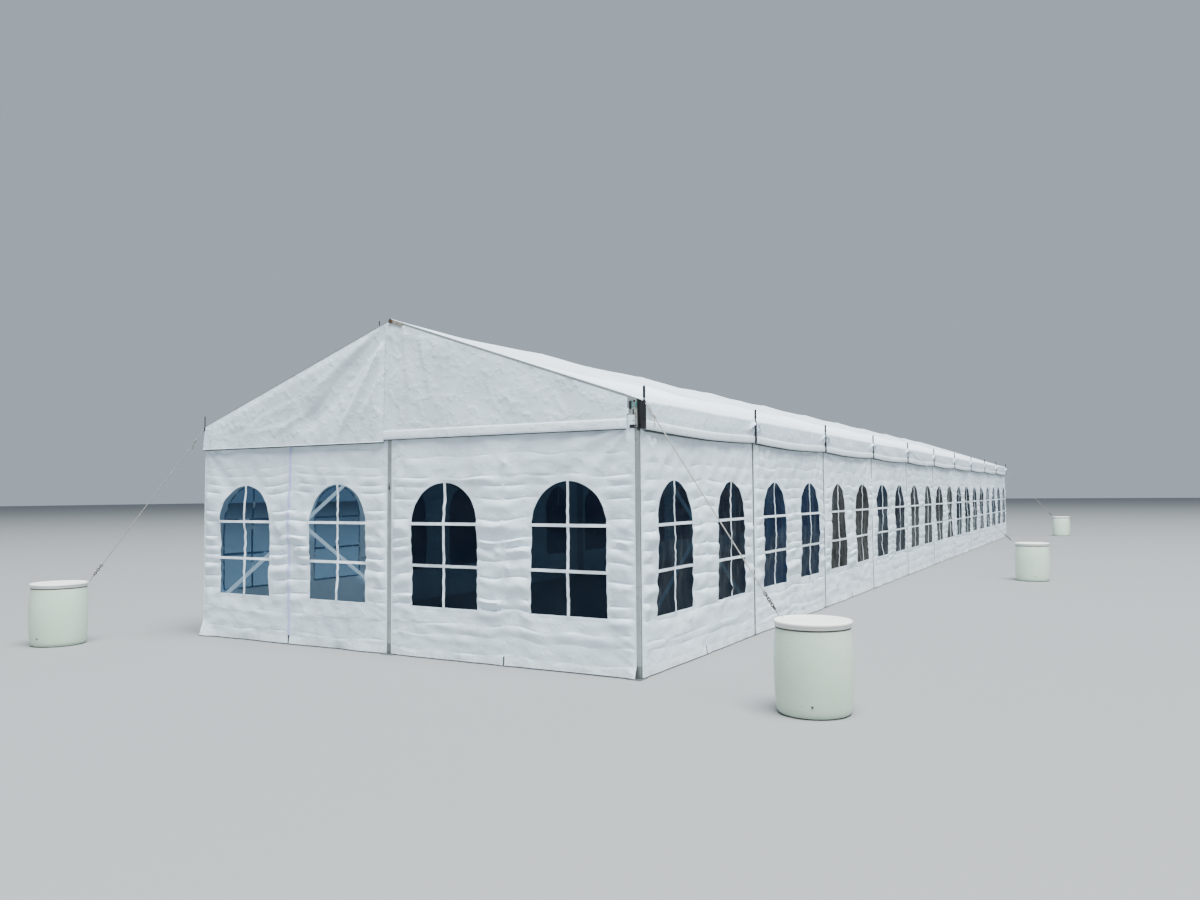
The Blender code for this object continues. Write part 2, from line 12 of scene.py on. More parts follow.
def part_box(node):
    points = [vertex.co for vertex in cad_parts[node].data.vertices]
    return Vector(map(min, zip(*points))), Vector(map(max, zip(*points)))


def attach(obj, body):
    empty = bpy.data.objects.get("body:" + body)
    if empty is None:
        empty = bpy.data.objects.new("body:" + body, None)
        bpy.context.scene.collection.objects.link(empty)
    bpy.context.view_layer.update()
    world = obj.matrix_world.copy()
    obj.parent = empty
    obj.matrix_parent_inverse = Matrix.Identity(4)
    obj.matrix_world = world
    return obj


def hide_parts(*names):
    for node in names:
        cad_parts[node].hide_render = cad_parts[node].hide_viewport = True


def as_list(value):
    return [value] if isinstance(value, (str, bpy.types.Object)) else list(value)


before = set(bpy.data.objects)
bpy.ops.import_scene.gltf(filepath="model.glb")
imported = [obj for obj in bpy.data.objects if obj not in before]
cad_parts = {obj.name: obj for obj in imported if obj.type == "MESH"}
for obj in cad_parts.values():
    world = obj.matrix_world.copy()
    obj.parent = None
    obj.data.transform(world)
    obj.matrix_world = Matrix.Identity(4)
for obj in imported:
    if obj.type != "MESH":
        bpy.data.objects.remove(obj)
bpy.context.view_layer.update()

print("frame loaded:", len(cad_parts), "nodes")


# Sizes that the pieces share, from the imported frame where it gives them

tent = {
    "bays": 10,
    "bay": 3.0,
    "gableBays": 2,
    "wallSlot": 0.050,        # bare leg between two wall panels
    "roofSlot": 0.034,        # bare rafter between two roof panels
    "cornerStrip": 0.034,     # bare corner leg beside a wall panel
    "leftCornerStrip": 0.012,  # at the near left corner, where the cloth reaches over the leg
    "postSlot": 0.060,        # bare post between the two gable panels
    "clothThickness": 0.0025,
    "eaveHeight": 2.57,       # of the rafters above the outer face of the legs
    "foldRadius": 0.035,
    "hemProud": 0.008,        # of the valance's padded hem before its face
    "valanceBottom": 2.29,
    "groundGap": 0.012,
    "flatWidth": 2.96,        # of a wall panel or roof cover laid flat
}
archLine = []
for index in range(1, tent["bays"] + 2):
    low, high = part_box(f"arch_frame_{index}")
    archLine.append((low.y + high.y) / 2)
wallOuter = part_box("right_side_wall")[1].x
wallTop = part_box("right_side_wall")[1].z
gableOuter = -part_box("near_gable_wall_right")[0].y
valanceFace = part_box("roof_panel_1")[1].x - tent["hemProud"]
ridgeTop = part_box("roof_panel_1")[1].z
halfSpan = tent["bay"] * tent["gableBays"] / 2
halfLength = tent["bay"] * tent["bays"] / 2
rafterRidge = 3.60
roofAngle = math.atan2(rafterRidge - tent["eaveHeight"], halfSpan)


# Camera at the photograph's place: its focal length is given for a 1200 pixel wide frame

cameraPlace = {
    "focalPixels": 930.5,
    "frameWidth": 1200,
    "sensor": 36.0,
    "position": (6.883, -22.617, 1.694),
    "yaw": -0.5126,
    "pitch": 0.0470,
    "roll": -0.0075,
}


def addObject(name, data):
    made = bpy.data.objects.new(name, data)
    bpy.context.scene.collection.objects.link(made)
    return made


def placeCamera(look):
    yaw, pitch, roll = look["yaw"], look["pitch"], look["roll"]
    forward = Vector((math.sin(yaw) * math.cos(pitch), math.cos(yaw) * math.cos(pitch), math.sin(pitch)))
    level = Vector((math.cos(yaw), -math.sin(yaw), 0.0))
    upright = level.cross(forward)
    right = level * math.cos(roll) + upright * math.sin(roll)
    up = upright * math.cos(roll) - level * math.sin(roll)
    data = bpy.data.cameras.new("camera")
    data.sensor_width = look["sensor"]
    data.lens = look["focalPixels"] / look["frameWidth"] * look["sensor"]
    data.clip_end = 400.0
    camera = addObject("camera", data)
    turn = Matrix((right, up, -forward)).transposed().to_4x4()
    camera.matrix_world = Matrix.Translation(look["position"]) @ turn
    bpy.context.scene.camera = camera


placeCamera(cameraPlace)
print("camera placed")


# Node helpers for materials

def setInputs(tree, node, values):
    for name, value in values.items():
        if isinstance(value, bpy.types.NodeSocket):
            tree.links.new(value, node.inputs[name])
        else:
            node.inputs[name].default_value = value


def addNode(tree, kind, inputs=None, **settings):
    node = tree.nodes.new(kind)
    for name, value in settings.items():
        setattr(node, name, value)
    setInputs(tree, node, inputs or {})
    return node


def mathNode(tree, operation, *values):
    return addNode(tree, "ShaderNodeMath", dict(enumerate(values)), operation=operation).outputs[0]


def newFinish(name):
    material = bpy.data.materials.new(name)
    material.use_nodes = True
    tree = material.node_tree
    return material, tree, tree.nodes["Principled BSDF"]


def mixColours(tree, share, first, second):
    first, second = ((*colour, 1.0) if isinstance(colour, tuple) else colour for colour in (first, second))
    return addNode(tree, "ShaderNodeMix", {0: share, 6: first, 7: second}, data_type="RGBA").outputs[2]


def spread(tree, value, low, high, newLow=0.0, newHigh=1.0):
    node = addNode(tree, "ShaderNodeMapRange", {
        "Value": value, "From Min": low, "From Max": high, "To Min": newLow, "To Max": newHigh})
    return node.outputs["Result"]


def noiseOn(tree, place, scale, detail=3.0, stretch=None):
    if stretch is not None:
        place = addNode(tree, "ShaderNodeMapping", {"Vector": place, "Scale": stretch}).outputs["Vector"]
    node = addNode(tree, "ShaderNodeTexNoise", {"Vector": place, "Scale": scale, "Detail": detail})
    return node.outputs["Fac"]


def waveOn(tree, place, gap, direction, more=None):
    # bands with one gap from line to line
    inputs = {"Vector": place, "Scale": 2 * math.pi / 20 / gap, **(more or {})}
    return addNode(tree, "ShaderNodeTexWave", inputs, bands_direction=direction).outputs["Fac"]


def objectPlace(tree):
    return addNode(tree, "ShaderNodeTexCoord").outputs["Object"]


def partsOf(tree, place):
    return addNode(tree, "ShaderNodeSeparateXYZ", {"Vector": place}).outputs


def uvPlace(tree):
    return addNode(tree, "ShaderNodeUVMap", uv_map="cloth").outputs["UV"]


def bumpFrom(tree, height, distance, before=None):
    inputs = {"Height": height, "Distance": distance, "Strength": 1.0}
    if before is not None:
        inputs["Normal"] = before
    return addNode(tree, "ShaderNodeBump", inputs).outputs["Normal"]


# Cloth finishes: a woven base under a PVC coat, with streaks and splashed dirt, and on the roof painted shade
# along the fold lines and on the valance

clothLooks = {
    "roof_white": {
        "clean": (0.79, 0.88, 0.965), "dull": (0.70, 0.79, 0.88), "dirt": (0.52, 0.50, 0.46),
        "rough": 0.42, "crinkle": 0.0009, "crinkleSize": 9.0, "splash": 0.0, "streak": 0.20,
        "foldLineShade": 0.75, "foldGap": 0.37,
        # valance colour: painted shade, greying the upright valance below the fold
        "valance": (0.60, 0.70, 0.79), "valanceShadeTop": (2.575, 2.535), "valanceShadeShare": 0.75,
    },
    "wall_white": {
        "clean": (0.775, 0.885, 0.965), "dull": (0.71, 0.815, 0.90), "dirt": (0.46, 0.44, 0.40),
        "rough": 0.46, "crinkle": 0.0007, "crinkleSize": 9.0, "splash": 0.55, "streak": 0.30,
    },
    "gable_white": {
        "clean": (0.68, 0.78, 0.84), "dull": (0.61, 0.705, 0.765), "dirt": (0.46, 0.45, 0.42),
        "rough": 0.46, "crinkle": 0.0011, "crinkleSize": 8.0, "splash": 0.0, "streak": 0.25,
    },
    "hem_white": {
        "clean": (0.79, 0.87, 0.94), "dull": (0.73, 0.81, 0.88), "dirt": (0.50, 0.48, 0.44),
        "rough": 0.40, "crinkle": 0.0006, "crinkleSize": 14.0, "splash": 0.35, "streak": 0.15,
    },
}
threadGap = 0.0011            # of the base cloth, from thread to thread
splashTop = 0.16              # height that rain splashes dirt to


def clothFinish(name, look):
    material, tree, shader = newFinish(name)
    place = objectPlace(tree)
    cloth = uvPlace(tree)
    patches = spread(tree, noiseOn(tree, place, 0.55, 4.0), 0.38, 0.68)
    colour = mixColours(tree, patches, look["clean"], look["dull"])
    streaks = spread(tree, noiseOn(tree, place, 6.0, 3.0, (1.0, 1.0, 0.08)), 0.52, 0.80, 0.0, look["streak"])
    colour = mixColours(tree, streaks, colour, look["dirt"])
    if "foldLineShade" in look:
        # painted shade: thin darker lines along the roof's folds, in the dirt colour
        wave = waveOn(tree, cloth, look["foldGap"], "Y", {"Distortion": 0.5, "Detail Scale": 0.3})
        lines = spread(tree, wave, 0.990, 0.999, 0.0, look["foldLineShade"])
        uneven = spread(tree, noiseOn(tree, place, 0.9, 2.0), 0.35, 0.55)
        colour = mixColours(tree, mathNode(tree, "MULTIPLY", lines, uneven), colour, look["dirt"])
        # painted shade: greyer on the valance, below the fold
        onValance = spread(tree, partsOf(tree, place)["Z"], *look["valanceShadeTop"], 0.0, look["valanceShadeShare"])
        colour = mixColours(tree, onValance, colour, look["valance"])
    if look["splash"]:
        low = spread(tree, partsOf(tree, place)["Z"], splashTop, 0.0, 0.0, look["splash"])
        mottle = spread(tree, noiseOn(tree, place, 22.0, 5.0), 0.40, 0.66)
        colour = mixColours(tree, mathNode(tree, "MULTIPLY", low, mottle), colour, look["dirt"])
    rough = spread(tree, noiseOn(tree, place, 3.0, 3.0), 0.3, 0.7, look["rough"] - 0.06, look["rough"] + 0.08)
    weave = mathNode(tree, "ADD", *(waveOn(tree, cloth, threadGap, direction) for direction in "XY"))
    soft = noiseOn(tree, cloth, look["crinkleSize"], 2.0)
    ridge = mathNode(tree, "ABSOLUTE", mathNode(tree, "SUBTRACT", soft, 0.5))
    normal = bumpFrom(tree, mathNode(tree, "ADD", ridge, soft), look["crinkle"] * 10)
    normal = bumpFrom(tree, weave, 0.00003, normal)
    setInputs(tree, shader, {
        "Base Color": colour, "Roughness": rough, "Normal": normal,
        "Coat Weight": 0.12, "Coat Roughness": 0.30, "Sheen Weight": 0.05,
    })
    return material


finishes = {name: clothFinish(name, look) for name, look in clothLooks.items()}


# Clear window sheet: a blue tint that the light passes, under a glossy rippled skin whose dark colour is
# painted shade of the inside seen through it; its bluish and brownish copies are painted reflections

filmLooks = {
    "window_sheet": {"tint": (0.27, 0.38, 0.45), "paintedSkinShare": 0.46, "gloss": 1.13, "rough": 0.06,
                     "skin": ((0.006, 0.010, 0.022), (0.016, 0.022, 0.034))},
    "window_blue": {"tint": (0.27, 0.38, 0.45), "paintedSkinShare": 0.46, "gloss": 1.13, "rough": 0.06,
                    "skin": ((0.006, 0.016, 0.045), (0.020, 0.036, 0.078))},
    "window_brown": {"tint": (0.30, 0.34, 0.34), "paintedSkinShare": 0.50, "gloss": 1.13, "rough": 0.10,
                     "skin": ((0.024, 0.023, 0.024), (0.066, 0.061, 0.060))},
    "window_clear": {"tint": (0.74, 0.86, 0.95), "paintedSkinShare": 0.22, "gloss": 1.27, "rough": 0.06,
                     "skin": ((0.006, 0.010, 0.022), (0.016, 0.022, 0.034))},
}


def filmFinish(name, look):
    material, tree, shader = newFinish(name)
    place = objectPlace(tree)
    cloudy = spread(tree, noiseOn(tree, place, 2.2, 3.0), 0.35, 0.70)
    ripples = noiseOn(tree, place, 9.0, 3.0, (1.0, 1.0, 0.22))
    # the skin's colours are painted shade of the dark inside, and on some windows painted reflections
    setInputs(tree, shader, {
        "Base Color": mixColours(tree, cloudy, *look["skin"]),
        "Roughness": look["rough"], "IOR": look["gloss"], "Normal": bumpFrom(tree, ripples, 0.010),
    })
    clear = addNode(tree, "ShaderNodeBsdfTransparent", {"Color": (*look["tint"], 1.0)}).outputs[0]
    both = addNode(tree, "ShaderNodeMixShader", {0: look["paintedSkinShare"], 1: clear, 2: shader.outputs[0]})
    tree.links.new(both.outputs[0], tree.nodes["Material Output"].inputs["Surface"])
    return material


finishes.update({name: filmFinish(name, look) for name, look in filmLooks.items()})


# Plain finishes: two shades in clouds over a fine grain

def plainFinish(name, colour, second, rough, scale=6.0, bump=0.0006, **more):
    material, tree, shader = newFinish(name)
    place = objectPlace(tree)
    clouds = spread(tree, noiseOn(tree, place, scale, 4.0), 0.35, 0.68)
    grain = noiseOn(tree, place, scale * 9, 4.0)
    roughness = spread(tree, grain, 0.3, 0.7, rough - 0.06, rough + 0.08)
    setInputs(tree, shader, {
        "Base Color": mixColours(tree, clouds, colour, second), "Roughness": roughness,
        "Normal": bumpFrom(tree, grain, bump), **more,
    })
    return material


plainLooks = {
    # painted shade: dark strips under the hems and in the seam slits
    "edge_dark": {"colour": (0.030, 0.040, 0.036), "second": (0.05, 0.06, 0.052), "rough": 0.7,
                  "scale": 8.0, "bump": 0.0004},
    "zip_tape": {"colour": (0.60, 0.63, 0.93), "second": (0.53, 0.57, 0.90), "rough": 0.55},
    "drum_green": {"colour": (0.58, 0.70, 0.57), "second": (0.53, 0.66, 0.51), "rough": 0.34,
                   "scale": 2.6, "bump": 0.0004, "Subsurface Weight": 0.30,
                   "Subsurface Radius": (0.05, 0.06, 0.05), "Subsurface Scale": 1.0},
    "lid_white": {"colour": (0.80, 0.79, 0.76), "second": (0.72, 0.71, 0.67), "rough": 0.38,
                  "scale": 3.0, "bump": 0.0004},
    # painted shade of the gap under the drum lid, also the dark plug
    "seal_dark": {"colour": (0.05, 0.055, 0.045), "second": (0.09, 0.09, 0.07), "rough": 0.7,
                  "scale": 9.0, "bump": 0.0005},
    "rope_grey": {"colour": (0.33, 0.32, 0.30), "second": (0.23, 0.22, 0.20), "rough": 0.85,
                  "scale": 14.0, "bump": 0.0006},
}
drumSpecks = {"spots": 24.0, "colour": (0.22, 0.26, 0.20), "share": 0.8}
finishes.update({name: plainFinish(name, **look) for name, look in plainLooks.items()})


def speckled(material, spots, colour, share):
    # small scuffs over a finish
    tree = material.node_tree
    shader = tree.nodes["Principled BSDF"]
    base = shader.inputs["Base Color"].links[0].from_socket
    place = objectPlace(tree)
    cells = addNode(tree, "ShaderNodeTexVoronoi", {"Vector": place, "Scale": spots}).outputs["Distance"]
    rare = spread(tree, noiseOn(tree, place, 5.0, 2.0), 0.44, 0.56, 0.0, share)
    close = spread(tree, cells, 0.12, 0.05)
    mixed = mixColours(tree, mathNode(tree, "MULTIPLY", close, rare), base, colour)
    tree.links.new(mixed, shader.inputs["Base Color"])


speckled(finishes["drum_green"], **drumSpecks)


# Metal finishes

def metalFinish(name, bright, dull, stain, stainShare, rough, grain=(1.0, 1.0, 0.04), metallic=0.75,
                paintedShades=(), glow=0.0):
    material, tree, shader = newFinish(name)
    place = objectPlace(tree)
    drawn = noiseOn(tree, place, 160.0, 2.0, grain)
    clouds = spread(tree, noiseOn(tree, place, 3.5, 5.0), 0.35, 0.68)
    colour = mixColours(tree, clouds, bright, dull)
    spots = spread(tree, noiseOn(tree, place, 17.0, 6.0), 0.56, 0.70, 0.0, stainShare)
    colour = mixColours(tree, spots, colour, stain)
    if paintedShades:
        apart = partsOf(tree, place)
        across = mathNode(tree, "ABSOLUTE", apart["X"])
        # painted shade: darker by height and distance from the middle line, in the stain colour
        for (low, high), (inner, outer), share in paintedShades:
            tall = spread(tree, apart["Z"], low, high, 0.0, share)
            wide = spread(tree, across, inner, outer)
            colour = mixColours(tree, mathNode(tree, "MULTIPLY", tall, wide), colour, stain)
    roughness = spread(tree, drawn, 0.3, 0.7, rough - 0.08, rough + 0.10)
    setInputs(tree, shader, {
        "Base Color": colour, "Metallic": metallic, "Roughness": roughness,
        "Normal": bumpFrom(tree, drawn, 0.0004),
    })
    # painted light: a glow on a part that is no lamp
    if glow:
        setInputs(tree, shader, {"Emission Color": (0.84, 0.92, 1.0, 1.0), "Emission Strength": glow})
    return material


metalLooks = {
    "leg_metal": {
        "bright": (0.52, 0.55, 0.55), "dull": (0.42, 0.45, 0.45), "stain": (0.07, 0.07, 0.065),
        "stainShare": 0.25, "rough": 0.46,
        # each painted shade: heights, distances from the middle line, share; in the stain colour, darkening
        # the foot of every leg and the legs and pins at the eaves
        "paintedShades": (((0.125, 0.115), (-1.0, 0.0), 0.5), ((2.270, 2.280), (2.985, 2.990), 0.95)),
    },
    # dark grey: painted shade of the slots between the cloths where the rails lie
    "rail_metal": {
        "bright": (0.20, 0.215, 0.21), "dull": (0.14, 0.155, 0.15), "stain": (0.12, 0.12, 0.10),
        "stainShare": 0.5, "rough": 0.50, "metallic": 0.5,
    },
    "zinc_plate": {
        "bright": (0.62, 0.64, 0.62), "dull": (0.44, 0.46, 0.42), "stain": (0.33, 0.24, 0.15),
        "stainShare": 0.8, "rough": 0.40,
    },
    "brace_zinc_painted_light": {
        # near white: painted light, with the glow below
        "bright": (0.95, 0.96, 0.96), "dull": (0.86, 0.88, 0.88), "stain": (0.40, 0.34, 0.26),
        "stainShare": 0.4, "rough": 0.5, "metallic": 0.1,
        "glow": 0.75,         # stands for daylight that real cloth lets through to it
    },
    "dark_steel": {
        "bright": (0.060, 0.060, 0.065), "dull": (0.035, 0.035, 0.04), "stain": (0.07, 0.045, 0.03),
        "stainShare": 0.6, "rough": 0.60,
    },
    "chain_rust": {
        "bright": (0.085, 0.078, 0.070), "dull": (0.05, 0.042, 0.036), "stain": (0.16, 0.07, 0.03),
        "stainShare": 0.6, "rough": 0.60, "grain": (1.0, 1.0, 1.0), "metallic": 0.4,
    },
    "bolt_teal": {
        "bright": (0.16, 0.38, 0.36), "dull": (0.10, 0.26, 0.26), "stain": (0.10, 0.10, 0.09),
        "stainShare": 0.7, "rough": 0.45, "grain": (1.0, 1.0, 1.0),
    },
    "rusty_zinc": {
        "bright": (0.60, 0.57, 0.48), "dull": (0.45, 0.38, 0.28), "stain": (0.24, 0.13, 0.07),
        "stainShare": 0.9, "rough": 0.50, "grain": (1.0, 1.0, 1.0),
    },
}
finishes.update({name: metalFinish(name, **look) for name, look in metalLooks.items()})
print("finishes made:", len(finishes))


# Meshes from flat patterns. A shell is one closed skin: places, faces, flat places and finish

def dividedLoop(corners, step):
    points = []
    for start, end in zip(corners, corners[1:] + corners[:1]):
        count = max(1, math.ceil(math.dist(start, end) / step))
        for index in range(count):
            share = index / count
            points.append((start[0] + (end[0] - start[0]) * share, start[1] + (end[1] - start[1]) * share))
    return points


def insideLoop(points, loop):
    x, y = points[:, 0], points[:, 1]
    inside = np.zeros(len(points), bool)
    for (ax, ay), (bx, by) in zip(loop, loop[1:] + loop[:1]):
        if ay != by:
            crossed = (ay > y) != (by > y)
            inside ^= crossed & (x < (bx - ax) * (y - ay) / (by - ay) + ax)
    return inside


def gapToLoop(points, loop):
    gap = np.full(len(points), 1e9)
    for start, end in zip(loop, loop[1:] + loop[:1]):
        start, end = np.array(start), np.array(end)
        run = end - start
        share = np.clip((points - start) @ run / max(run @ run, 1e-12), 0, 1)
        gap = np.minimum(gap, np.linalg.norm(points - start - share[:, None] * run, axis=1))
    return gap


def clearOf(points, others, gap):
    tree = KDTree(len(others))
    for index, (s, z) in enumerate(others):
        tree.insert((s, z, 0.0), index)
    tree.balance()
    return np.array([tree.find((s, z, 0.0))[2] > gap for s, z in points], bool)


def flatPattern(outline, holes, step, rows=(), rimStep=0.03):
    loops = [dividedLoop(loop, min(step, rimStep)) for loop in [outline, *holes]]
    low, high = np.min(outline, axis=0), np.max(outline, axis=0)
    counts = np.maximum(1, np.round((high - low) / step)).astype(int) + 1
    lines = [np.linspace(low[axis], high[axis], counts[axis]) for axis in (0, 1)]
    grid = np.stack(np.meshgrid(*lines), axis=-1).reshape(-1, 2)
    kept = insideLoop(grid, loops[0])
    for loop in loops:
        kept &= gapToLoop(grid, loop) > step * 0.5
    for loop in loops[1:]:
        kept &= ~insideLoop(grid, loop)
    grid = grid[kept]
    if len(rows):
        kept = insideLoop(rows, loops[0])
        for loop in loops:
            kept &= gapToLoop(rows, loop) > 0.004
        for loop in loops[1:]:
            kept &= ~insideLoop(rows, loop)
        rows = rows[kept]
        grid = np.vstack((grid[clearOf(grid, rows, step * 0.6)], rows))
    corners, edges = [], []
    for loop in loops:
        first = len(corners)
        corners += loop
        edges += [(first + index, first + (index + 1) % len(loop)) for index in range(len(loop))]
    corners += grid.tolist()
    made = delaunay_2d_cdt([Vector(corner) for corner in corners], edges, [], 0, 1e-7, False)
    points = np.array([tuple(point) for point in made[0]])
    faces = np.array(made[2])
    middles = points[faces].mean(axis=1)
    wanted = insideLoop(middles, loops[0])
    for loop in loops[1:]:
        wanted &= ~insideLoop(middles, loop)
    faces = faces[wanted]
    a, b, c = (points[faces[:, corner]] for corner in range(3))
    turned = (b - a)[:, 0] * (c - a)[:, 1] - (b - a)[:, 1] * (c - a)[:, 0] < 0
    faces[turned] = faces[turned][:, ::-1]
    return points, faces


def pointNormals(places, faces):
    normals = np.zeros_like(places)
    corners = places[faces]
    across = np.cross(corners[:, 1] - corners[:, 0], corners[:, -1] - corners[:, 0])
    for corner in range(faces.shape[1]):
        np.add.at(normals, faces[:, corner], across)
    return normals / np.maximum(np.linalg.norm(normals, axis=1), 1e-12)[:, None]


def sheetShell(pattern, surface, thickness, finish, flatShift=(0.0, 0.0)):
    points, faces = pattern
    outer = surface(points)
    inner = outer - pointNormals(outer, faces) * thickness
    count = len(points)
    edges = {}
    for face in faces.tolist():
        for start, end in zip(face, face[1:] + face[:1]):
            edges[(start, end)] = True
    rim = [(end, start, start + count, end + count) for start, end in edges if (end, start) not in edges]
    skin = [tuple(face) for face in faces.tolist()]
    lining = [tuple(corner + count for corner in reversed(face)) for face in skin]
    flat = np.vstack((points, points)) + np.array(flatShift)
    return {"places": np.vstack((outer, inner)), "faces": skin + lining + rim, "flat": flat, "finish": finish}


def sweptShell(rings, finish, closed=False, flat=None):
    count, sides, _ = rings.shape
    faces = []
    for index in range(count if closed else count - 1):
        following = (index + 1) % count
        for side in range(sides):
            after = (side + 1) % sides
            faces.append((index * sides + side, index * sides + after,
                          following * sides + after, following * sides + side))
    if not closed:
        faces.append(tuple(range(sides))[::-1])
        faces.append(tuple((count - 1) * sides + side for side in range(sides)))
    if flat is None:
        run = np.concatenate(([0], np.cumsum(np.linalg.norm(np.diff(rings[:, 0], axis=0), axis=1))))
        girth = np.concatenate(([0], np.cumsum(np.linalg.norm(np.diff(rings[0], axis=0), axis=1))))
        flat = np.stack(np.meshgrid(run, girth, indexing="ij"), axis=-1).reshape(-1, 2)
    return {"places": rings.reshape(-1, 3), "faces": faces, "flat": flat, "finish": finish}


def ribbonShell(path, halfWidth, surface, lift, thickness, finish, closed=False):
    path = np.array(path, float)
    if closed:
        run = np.roll(path, -1, axis=0) - np.roll(path, 1, axis=0)
    else:
        run = np.gradient(path, axis=0)
    run /= np.linalg.norm(run, axis=1)[:, None]
    across = np.column_stack((run[:, 1], -run[:, 0])) * halfWidth
    low, high = path + across, path - across
    rings = np.stack((
        surface(low, lift + thickness), surface(high, lift + thickness),
        surface(high, lift), surface(low, lift)), axis=1)
    return sweptShell(rings[:, ::-1], finish, closed)


def straightPath(start, end, step):
    count = max(2, math.ceil(math.dist(start, end) / step) + 1)
    return np.linspace(start, end, count)


def makePiece(name, shells, smoothAngle=40.0):
    mesh = bpy.data.meshes.new(name)
    places, faces, flats, slots = [], [], [], []
    finishNames = sorted({shell["finish"] for shell in shells})
    for shell in shells:
        first = sum(len(part) for part in places)
        places.append(shell["places"])
        flats.append(shell["flat"])
        faces += [tuple(first + corner for corner in face) for face in shell["faces"]]
        slots += [finishNames.index(shell["finish"])] * len(shell["faces"])
    mesh.from_pydata(np.vstack(places).tolist(), [], faces)
    for finish in finishNames:
        mesh.materials.append(finishes[finish])
    mesh.polygons.foreach_set("material_index", slots)
    layer = mesh.uv_layers.new(name="cloth")
    corners = np.zeros(len(mesh.loops), np.int32)
    mesh.loops.foreach_get("vertex_index", corners)
    layer.data.foreach_set("uv", np.vstack(flats)[corners].astype(np.float32).ravel())
    mesh.shade_smooth()
    mesh.set_sharp_from_angle(angle=math.radians(smoothAngle))
    mesh.update()
    return addObject(name, mesh)


def putOnFrame(piece, slot, *replaced):
    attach(piece, "root")
    if replaced:
        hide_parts(*replaced)


def softNoise(seed, sizeS, sizeZ, count=7):
    dice = random.Random(seed)
    waves = []
    for _ in range(count):
        angle = dice.uniform(0, 2 * math.pi)
        pace = 2 * math.pi * dice.uniform(0.6, 1.5)
        waves.append((pace * math.cos(angle) / sizeS, pace * math.sin(angle) / sizeZ, dice.uniform(0, 6.3)))

    def value(points):
        total = np.zeros(len(points))
        for alongS, alongZ, phase in waves:
            total += np.sin(points[:, 0] * alongS + points[:, 1] * alongZ + phase)
        return total / math.sqrt(count)
    return value


def smoothStep(value):
    share = np.clip(value, 0, 1)
    return share * share * (3 - 2 * share)


def hump(gap, width):
    # 1 in the middle, falling smoothly on both sides
    return np.exp(-(gap / width) ** 2)


def fading(gap, reach):
    # 1 up to where the gap starts, then less and less
    return np.exp(-np.maximum(gap, 0) / reach)


def clothSurface(place, field):
    reach = 0.002

    def surface(points, lift=0.0):
        points = np.asarray(points, float)
        base = place(points, field(points))
        if np.all(np.asarray(lift) == 0):
            return base
        sides = []
        for step in ((reach, 0.0), (0.0, reach)):
            ahead, behind = points + step, points - step
            sides.append(place(ahead, field(ahead)) - place(behind, field(behind)))
        normal = np.cross(*sides)
        normal /= np.linalg.norm(normal, axis=1)[:, None]
        return base + normal * np.broadcast_to(lift, len(points))[:, None]
    return surface


# Wall frames: where each wall starts, which way it runs and which way it faces

walls = {
    "right_side": {"start": (wallOuter, -halfLength), "run": (0, 1), "out": (1, 0)},
    "left_side": {"start": (-wallOuter, halfLength), "run": (0, -1), "out": (-1, 0)},
    "near_gable": {"start": (-halfSpan, -gableOuter), "run": (1, 0), "out": (0, -1)},
    "far_gable": {"start": (halfSpan, gableOuter), "run": (-1, 0), "out": (0, 1)},
}


def placeOnWall(wall, shift=0.0, warp=None):
    (startX, startY), (runX, runY), (outX, outY) = wall["start"], wall["run"], wall["out"]

    def place(points, out):
        s = points[:, 0] + shift
        if warp is not None:
            s = s + warp(points)
        return np.column_stack((startX + s * runX + out * outX, startY + s * runY + out * outY, points[:, 1]))
    return place


# Wall panels with arched windows, folds from packing and pulls at their edges

wallPanel = {
    "top": 2.42, "creaseGap": 0.150, "creaseDepth": 0.0185, "creaseRound": 0.04, "notch": 0.0080,
    "notchHalf": 0.0060, "creaseLean": 1.60,
    # how strong the creases are in each part of the panel
    "besideWindow": 1.0, "elsewhere": 0.26, "inWindow": 0.15, "aboveArch": 0.35, "atJamb": 0.55,
    "atSill": 0.75, "foldFoot": 0.40, "foldTop": 1.94, "foldFade": 0.40,
    "puckerGap": 0.088, "pucker": 0.0085, "puckerReach": 0.13, "puckerRise": 0.45,
    "gather": 0.007, "gatherReach": 0.30,
    "billow": 0.014, "flare": 0.014, "knot": 0.008,
    "jambWave": 0.0026, "barWave": 0.0026,
    "seamHalf": 0.022, "bandHeight": 0.075,
    "slitHeight": 0.085, "slitHalf": 0.007, "beadRadius": 0.0035,
}
windowLook = {
    "middles": (0.75, 2.25), "width": 0.85, "sill": 0.535, "spring": 1.395, "middleBar": 0.960,
    "arcSteps": 40,
    "lap": 0.022, "filmThickness": 0.0010, "rimHalf": 0.013, "rimGap": 0.014,
    "barHalf": 0.0145, "barThickness": 0.0016, "barOver": 0.022,
    "ripple": 0.006, "barRipple": 0.0042,
}
seamAt = tent["bay"] / 2
seatGap = 0.0002              # under what lies on cloth or metal
# gap between the points of each wall's cloth
skinStep = {"side": 0.062, "nearSide": 0.030, "leftSide": 0.074, "nearGable": 0.024, "farGable": 0.070}


def windowLoop(middle, grow=0.0):
    radius = windowLook["width"] / 2 + grow
    sill = windowLook["sill"] - grow
    loop = [(middle - radius, sill), (middle + radius, sill)]
    for index in range(windowLook["arcSteps"] + 1):
        angle = math.pi * index / windowLook["arcSteps"]
        loop.append((middle + radius * math.cos(angle), windowLook["spring"] + radius * math.sin(angle)))
    return loop


